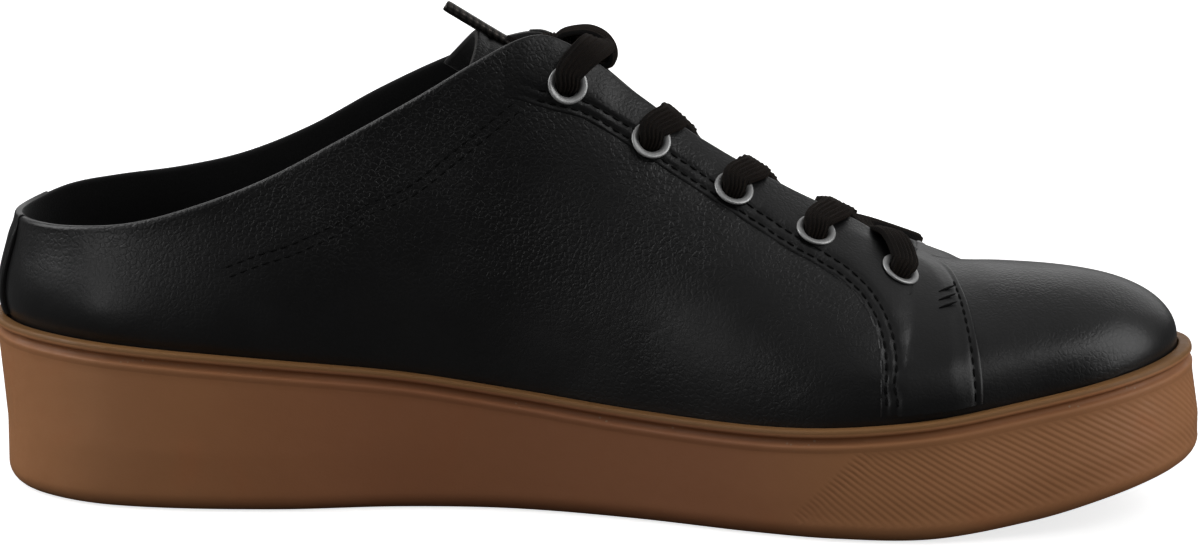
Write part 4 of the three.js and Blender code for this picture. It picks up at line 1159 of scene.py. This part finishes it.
def flat_lace(s, spots, widths, count):
    """A stretch of flat lace through spots, with its width at each one for a lace of seven millimetres. It is
    thicker where it is narrower."""
    spots_, facings = (np.array(v, float) for v in zip(*spots))
    widths = np.asarray(widths, float) * s.width / LACE_WIDTH
    thick = s.thickness * (1 + 0.75 * (1 - widths / s.width))
    return ribbon_grid(spots_, facings, count, widths, thick, s.ribs)


def lace_piece(s, name, spots, widths, count, nodes):
    """A piece of one stretch of lace. Returns it and its centreline."""
    points, cells, uv, line = flat_lace(s, spots, widths, count)
    return piece(name, points, cells, [lace_material(s)], nodes, uv=uv), line


def build_crossings(s):
    """The crossings: in each, a strand from each side comes from under the facing, goes over the tongue and the far
    facing's edge and down into the next eyelet up. The top one's strands go under the tie."""
    parts, uvs = [], []
    for pair in range(4):
        upper, lower = EYELET_SHARES[pair : pair + 2]
        middle = (upper + lower) / 2
        for side in (-1, 1):
            over = -0.3 if side < 0 else -1.6
            spots = [
                facing_spot(-side, lower - 0.004, 0.80, -3.2), facing_spot(-side, lower - 0.012, 0.93, -3.1),
                tongue_spot(-side, lower - 0.016, 0.40, 1.0),
                gap_spot(side, middle + 0.004, 0.5, over), gap_spot(side, upper + 0.015, 0.12, 1.9),
                facing_spot(side, upper + 0.013, 0.975, 2.45),
            ]
            spots += eyelet_spots(side, pair)
            widths = [5.5, 6.2, 7, 7, 7, 7, 6.2, 5.0, 4.0]
            if pair == 0:
                spots, widths = [*spots[:3], tongue_spot(side, middle + 0.01, 0.5, 1.0 + over / 2)], widths[:4]
                spots += [tongue_spot(side, upper + 0.02, 0.36, 0.9), facing_spot(side, upper + 0.004, 0.90, -3.0)]
                widths += [6.5, 5.5]
            if pair == 3:
                back, lift = (0.012, 2.45) if side > 0 else (0.036, 1.3)
                spots[:3] = [*eyelet_spots(-side, 4)[::-1], facing_spot(-side, lower - back, 0.98, lift)]
                widths = [4.0, 5.0, 6.2, 7, *widths[3:]]
                if side < 0:
                    at, facing = spots[2]
                    spots[2] = at - facing * 0.8, facing
                    widths[1:4] = 4.6, 5.2, 6.0
            points, cells, uv, _ = flat_lace(s, spots, widths, 70)
            parts.append((points, cells))
            uvs.append(uv)
    points, cells = joined(parts)
    names = [f"lace_crossing_{pair}" for pair in range(1, 5)]
    piece("lace_crossings", points, cells, [lace_material(s)], names, uv=np.concatenate(uvs))


LOOP = pairs(
    """128.3 100.7   129.3 102.6   132.2 103.5   135.4 103.6   138.3 102.3   140.1 99.9   140.3 97.3   138.6 96.2
    135.6 97.2   132.0 98.7"""
)
AGLET = table(
    "along radius",
    """-0.4 1.0   -0.35 1.30   0.0 1.40   0.25 1.42   0.7 1.38   3 1.35   6 1.33   9 1.33   12 1.34   15 1.35
    16.1 1.35   16.5 1.28   16.75 1.10   16.8 0.85   16.3 0.80   12.0 0.0""",
)
AGLET_START, AGLET_TIP = np.array([117.6, -0.9, 100.2]), np.array([103.6, -1.6, 108.6])


def rising_spots(side):
    """Spots that lead an end of the lace up out of its top eyelet and over the facing."""
    return [*eyelet_spots(side, 0)[::-1], facing_spot(side, 0.503, 0.985, 3.0)]


def build_knot(s):
    """The knot: a turn and a half of lace round the other strands."""
    a = np.linspace(0.3, 0.3 + 1.45 * TURN, 16)
    ring = np.stack([127.6 + 1.6 * np.linspace(-1, 1, 16), 0.6 + 3.3 * np.cos(a), 99.2 + 2.3 * np.sin(a)], 1)
    round_ = np.stack([a * 0, np.cos(a), np.sin(a)], 1)
    return lace_piece(s, "lace_knot_wrap", zip(ring, round_), np.full(16, 4.6), 60, ["lace_knot"])[0]


def build_rise(s):
    """The outer end of the lace, from its top eyelet up into the knot."""
    spots = [
        *rising_spots(1), free_spot(135.4, 6.8, 99.8, 0.2, 0.1, 0.9), free_spot(131.8, 3.8, 100.9, 0.1, -0.4, 0.9),
        free_spot(127.6, 1.6, 100.2),
    ]
    return lace_piece(s, "lace_outer_rise", spots, [4, 5, 6.2, 7, 7, 6, 4.6], 60, ["lace_rise_outer"])[0]


def build_aglet():
    """The aglet: a sleeve turned about the line from the lace's end to its tip, rounded and closed at both ends."""
    way = unit(AGLET_TIP - AGLET_START)
    a = np.linspace(0, TURN, 40, endpoint=False)[:, None]
    side = unit(np.cross(way, [0.0, 0.0, 1.0]))
    round_ = np.cos(a) * side + np.sin(a) * np.cross(side, way) * 0.94
    along, radius = (AGLET[name][:, None, None] for name in ("along", "radius"))
    cells = grid_cells(len(along), len(a), wrap=True)
    points = AGLET_START + way * along + radius * round_
    return piece("lace_aglet_sleeve", points, cells, [aglet_material()], ["lace_aglet"])


def build_tie(s):
    """The tie: the inner end of the lace rises from its eyelet over the facing, turns back under itself at the knot,
    swings up and over in one round loop and runs out through the knot to its aglet."""
    middle = np.array([134.8, -1.0, 99.4])
    spots = [
        *rising_spots(-1), free_spot(138.3, -7.2, 101.8, 0.35, -0.45, 0.82),
        free_spot(135.2, -3.2, 100.6, 0.1, -0.2, 0.95), free_spot(130.6, -1.4, 99.6, 0.2, 0.0, 0.95),
        *(free_spot(x, -1.0, z, *(middle - [x, -1.0, z])) for x, z in LOOP), free_spot(127.6, 0.4, 99.6),
        free_spot(123.9, 0.4, 100.0), free_spot(120.8, -0.3, 99.9), free_spot(*AGLET_START),
        free_spot(115.9, -0.95, 101.2),
    ]
    widths = [4.0, 5.0, 6.2, 7, 7, 6.4, 5.6, 5.6, 6.4, 7, 7, 7, 7, 7, 6.8, 6.4, 5.6, 4.4, 3.6, 3.0, 2.6, 2.4]
    tie, line = lace_piece(s, "lace_tie", spots, widths, 190, ["lace_rise_inner", "lace_loop", "lace_end"])
    knot, rise, sleeve = build_knot(s), build_rise(s), build_aglet()
    place(eyelet_places()[2][0, 0])[0]


# The studio
def stand(thing, at, right, above, back):
    """Stands a camera or a light at a point, turned so that it looks away from its back."""
    bpy.context.scene.collection.objects.link(thing)
    turn = Matrix(np.stack([right, above, back], 1).tolist()).to_4x4()
    thing.matrix_world = Matrix.Translation(at) @ turn


def build_camera():
    """The camera in front of the inner side, a little above, turned slightly to the heel."""
    yaw, pitch = math.radians(6.9), math.atan2(205, 1000)
    level = math.cos(pitch)
    ahead = np.array([-math.sin(yaw) * level, math.cos(yaw) * level, -math.sin(pitch)])
    right = np.array([math.cos(yaw), math.sin(yaw), 0.0])
    data = bpy.data.cameras.new("camera")
    data.lens, data.sensor_width, data.shift_x, data.shift_y = 136.65, 36, 0.00833, -0.0075
    camera = bpy.data.objects.new("camera", data)
    stand(camera, (0.1199, -0.9928, 0.255), right, np.cross(right, ahead), -ahead)
    bpy.context.scene.camera = camera


def softbox(name, at, to, size, power):
    """An oblong light that looks at a point."""
    data = bpy.data.lights.new(name, "AREA")
    data.shape, data.size, data.size_y = "RECTANGLE", *size
    data.energy = power
    light = bpy.data.objects.new(name, data)
    light.visible_camera = False
    back = unit(np.array(at, float) - np.array(to, float))
    side = unit(np.cross([0.0, 1.0, 0.001], back))
    stand(light, at, side, np.cross(back, side), back)


def build_stage(s):
    """Floor, world and lights. Floor and world are white to the camera. To all else the floor is a grey card and the
    world a dim gradient, so that the black leather mirrors little of them."""
    mesh = bpy.data.meshes.new("studio_floor")
    mesh.from_pydata([(-3, -3, 0), (3, -3, 0), (3, 3, 0), (-3, 3, 0)], [], [(0, 1, 2, 3)])
    mesh.materials.append(floor_material(s))
    floor = bpy.data.objects.new("studio_floor", mesh)
    bpy.context.scene.collection.objects.link(floor)
    world = bpy.data.worlds.new("studio")
    bpy.context.scene.world = world
    world.use_nodes = True
    tree = world.node_tree
    tree.nodes.clear()
    way = tree.nodes.new("ShaderNodeTexCoord").outputs["Generated"]
    split = tree.nodes.new("ShaderNodeSeparateXYZ")
    tree.links.new(way, split.inputs[0])
    up = tree.nodes.new("ShaderNodeMapRange")
    tree.links.new(split.outputs["Z"], up.inputs["Value"])
    up.inputs["From Min"].default_value, up.inputs["From Max"].default_value = -0.1, 0.9
    up.inputs["To Min"].default_value, up.inputs["To Max"].default_value = s.room_low, s.room_high
    dim, white, mix = (tree.nodes.new(f"ShaderNode{kind}") for kind in ("Background", "Background", "MixShader"))
    tree.links.new(up.outputs["Result"], dim.inputs["Strength"])
    white.inputs["Strength"].default_value = 1.0
    for background in (dim, white):
        background.inputs["Color"].default_value = (1, 1, 1, 1)
    ray = tree.nodes.new("ShaderNodeLightPath").outputs["Is Camera Ray"]
    for value, socket in ((ray, 0), (dim.outputs[0], 1), (white.outputs[0], 2)):
        tree.links.new(value, mix.inputs[socket])
    tree.links.new(mix.outputs[0], tree.nodes.new("ShaderNodeOutputWorld").inputs["Surface"])
    softbox("overhead", (0.05, 0.25, 1.15), (0, 0, 0.05), (1.7, 0.9), s.overhead)
    softbox("backdrop", (0.0, 1.4, 0.75), (0, 0, 0.08), (2.6, 1.1), s.back)
    softbox("left_side", (-1.0, -0.10, 0.74), (0, 0, 0.05), (0.9, 0.8), s.left)
    softbox("heel_key", (-0.60, -0.70, 0.21), (-0.10, 0, 0.05), (0.30, 0.22), s.heel)
    softbox("right_side", (0.98, -0.22, 0.50), (0, 0, 0.05), (1.0, 0.7), s.right)
    softbox("toe_key", (0.44, -0.46, 0.56), (0.11, 0, 0.04), (0.24, 0.18), s.toe)
    softbox("front", (0.1, -1.5, 1.1), (0, 0, 0.05), (0.8, 0.5), s.front)
    view = bpy.context.scene.view_settings
    view.view_transform, view.look, view.exposure, view.gamma = "Standard", "None", 0.0, 1.0


# The add-on
def number(name, about, default, low, high):
    """A number between two bounds."""
    return FloatProperty(name=name, description=about, default=default, min=low, max=high)


def power(name, about, default):
    """The power of a light."""
    return FloatProperty(name=name, description=about, default=default, min=0, unit="POWER")


def colour_of(name, about, default):
    """A colour."""
    return FloatVectorProperty(name=name, description=about, default=default, size=3, subtype="COLOR", min=0, max=1)


class MULE_PG_leather(bpy.types.PropertyGroup):
    """Black leather of the upper, the facings, the tongue and the heel strip."""

    colour: colour_of("Colour", "Colour of the dyed leather", (0.0034, 0.0034, 0.0038))
    grain: number("Pebble size", "Distance between pebbles, in millimetres", 1.25, 0.4, 4)
    grain_depth: number("Pebble depth", "Height of the pebbles, in millimetres", 0.095, 0, 0.5)
    gloss: number("Roughness", "Roughness of the finish, low where it is polished", 0.34, 0.1, 0.9)


class MULE_PG_sole(bpy.types.PropertyGroup):
    """Gum rubber of the cup sole."""

    colour: colour_of("Colour", "Colour of the gum rubber", (0.520, 0.232, 0.098))
    rib_pitch: number("Rib pitch", "Distance between the toe panel's ribs, in millimetres", 2.0, 1, 5)
    rib_depth: number("Rib depth", "Depth of the ribs, in millimetres", 0.10, 0, 1)
    rib_angle: number("Rib angle", "Angle of the ribs over the floor, in degrees", 37, 20, 90)


class MULE_PG_lace(bpy.types.PropertyGroup):
    """The flat woven lace."""

    colour: colour_of("Colour", "Colour of the yarn", (0.0160, 0.0155, 0.0155))
    width: number("Width", "Width of the flat lace, in millimetres", 7.0, 3, 10)
    thickness: number("Thickness", "Thickness of the lace, in millimetres", 1.9, 0.6, 3)
    ribs: number("Ribs", "Depth of the lengthwise ribs, as a share of the thickness", 0.16, 0, 0.4)


class MULE_PG_stage(bpy.types.PropertyGroup):
    """Paper, room and softboxes."""

    floor_colour: colour_of("Floor", "Colour of the paper", (0.93, 0.93, 0.93))
    floor_bounce: number("Bounce", "Tone of the paper as the shoe sees it", 0.12, 0, 1)
    room_low: number("Room at the horizon", "Strength of the room's light from the side", 0.02, 0, 2)
    room_high: number("Room overhead", "Strength of the room's light from above", 0.20, 0, 4)
    overhead: power("Overhead", "Power of the overhead softbox", 0.80)
    back: power("Backdrop", "Power of the lit backdrop", 6.4)
    left: power("Left", "Power of the softbox at the heel", 6.5)
    right: power("Right", "Power of the softbox at the toe", 4.4)
    heel: power("Heel key", "Power of the small light on the heel", 0.42)
    toe: power("Toe key", "Power of the small light on the toe", 0.28)
    front: power("Front", "Power of the softbox by the camera", 0.12)


class Build:
    """What the operators share: they stand in the sidebar, can be undone and fail aloud."""

    bl_options = {"REGISTER", "UNDO"}

    def execute(self, context):
        self.build(context.scene)
        return {"FINISHED"}


class MULE_OT_stage(Build, bpy.types.Operator):
    """Set up the camera, the floor and the lights"""

    bl_idname = "mule.stage"
    bl_label = "Studio"

    def build(self, scene):
        build_camera()
        build_stage(scene.mule_stage)


class MULE_OT_tie(Build, bpy.types.Operator):
    """Lay the tie: risers, loop, knot, end and aglet"""

    bl_idname = "mule.tie"
    bl_label = "Lace tie"

    def build(self, scene):
        build_tie(scene.mule_lace)


class MULE_OT_crossings(Build, bpy.types.Operator):
    """Lace the throat from eyelet to eyelet"""

    bl_idname = "mule.crossings"
    bl_label = "Lace crossings"

    def build(self, scene):
        build_crossings(scene.mule_lace)


class MULE_OT_sole(Build, bpy.types.Operator):
    """Mould the cup sole with its ribbed toe panel"""

    bl_idname = "mule.sole"
    bl_label = "Cup sole"

    def build(self, scene):
        build_outsole(scene.mule_sole)


class MULE_OT_footbed(Build, bpy.types.Operator):
    """Lay the footbed in the well"""

    bl_idname = "mule.footbed"
    bl_label = "Footbed"

    def build(self, scene):
        build_footbed()


class MULE_OT_upper(Build, bpy.types.Operator):
    """Stretch the upper over the last"""

    bl_idname = "mule.upper"
    bl_label = "Upper"

    def build(self, scene):
        build_upper(scene.mule_leather)


class MULE_OT_overlays(Build, bpy.types.Operator):
    """Lay the two facings and the heel strip on the upper"""

    bl_idname = "mule.overlays"
    bl_label = "Facings and heel strip"

    def build(self, scene):
        build_eyestay(scene.mule_leather, -1, "inner")
        build_eyestay(scene.mule_leather, 1, "outer")
        build_backstay(scene.mule_leather)


class MULE_OT_tongue(Build, bpy.types.Operator):
    """Lay the tongue under the throat"""

    bl_idname = "mule.tongue"
    bl_label = "Tongue"

    def build(self, scene):
        build_tongue(scene.mule_leather)


class MULE_OT_eyelets(Build, bpy.types.Operator):
    """Set the ten eyelets"""

    bl_idname = "mule.eyelets"
    bl_label = "Eyelets"

    def build(self, scene):
        build_eyelets()


class MULE_OT_thread(Build, bpy.types.Operator):
    """Sew the seams"""

    bl_idname = "mule.thread"
    bl_label = "Stitches"

    def build(self, scene):
        build_thread()


STEPS = (
    MULE_OT_stage, MULE_OT_tie, MULE_OT_crossings, MULE_OT_sole, MULE_OT_footbed, MULE_OT_upper, MULE_OT_overlays,
    MULE_OT_tongue, MULE_OT_eyelets, MULE_OT_thread,
)
GROUPS = {
    "mule_leather": MULE_PG_leather, "mule_sole": MULE_PG_sole, "mule_lace": MULE_PG_lace, "mule_stage": MULE_PG_stage,
}


class MULE_PT_panel(bpy.types.Panel):
    """Sizes, colours and steps of the mule"""

    bl_idname = "MULE_PT_panel"
    bl_label = "Laced Mule"
    bl_space_type = "VIEW_3D"
    bl_region_type = "UI"
    bl_category = "Mule"

    def draw(self, context):
        for key, group in GROUPS.items():
            box = self.layout.box()
            for name in group.__annotations__:
                box.prop(getattr(context.scene, key), name)
        for step in STEPS:
            self.layout.operator(step.bl_idname)


def register():
    """Make the groups, operators and panel known to Blender."""
    for cls in (*GROUPS.values(), *STEPS, MULE_PT_panel):
        bpy.utils.register_class(cls)
    for key, group in GROUPS.items():
        setattr(bpy.types.Scene, key, PointerProperty(type=group))


def unregister():
    """Take all of it back."""
    for key in GROUPS:
        delattr(bpy.types.Scene, key)
    for cls in reversed((*GROUPS.values(), *STEPS, MULE_PT_panel)):
        bpy.utils.unregister_class(cls)


def main():
    """Build everything in order."""
    register()
    for step in STEPS:
        group, name = step.bl_idname.split(".")
        if getattr(getattr(bpy.ops, group), name)() != {"FINISHED"}:
            raise RuntimeError(f"{step.bl_label} didn't finish")


if __name__ == "__main__":
    main()
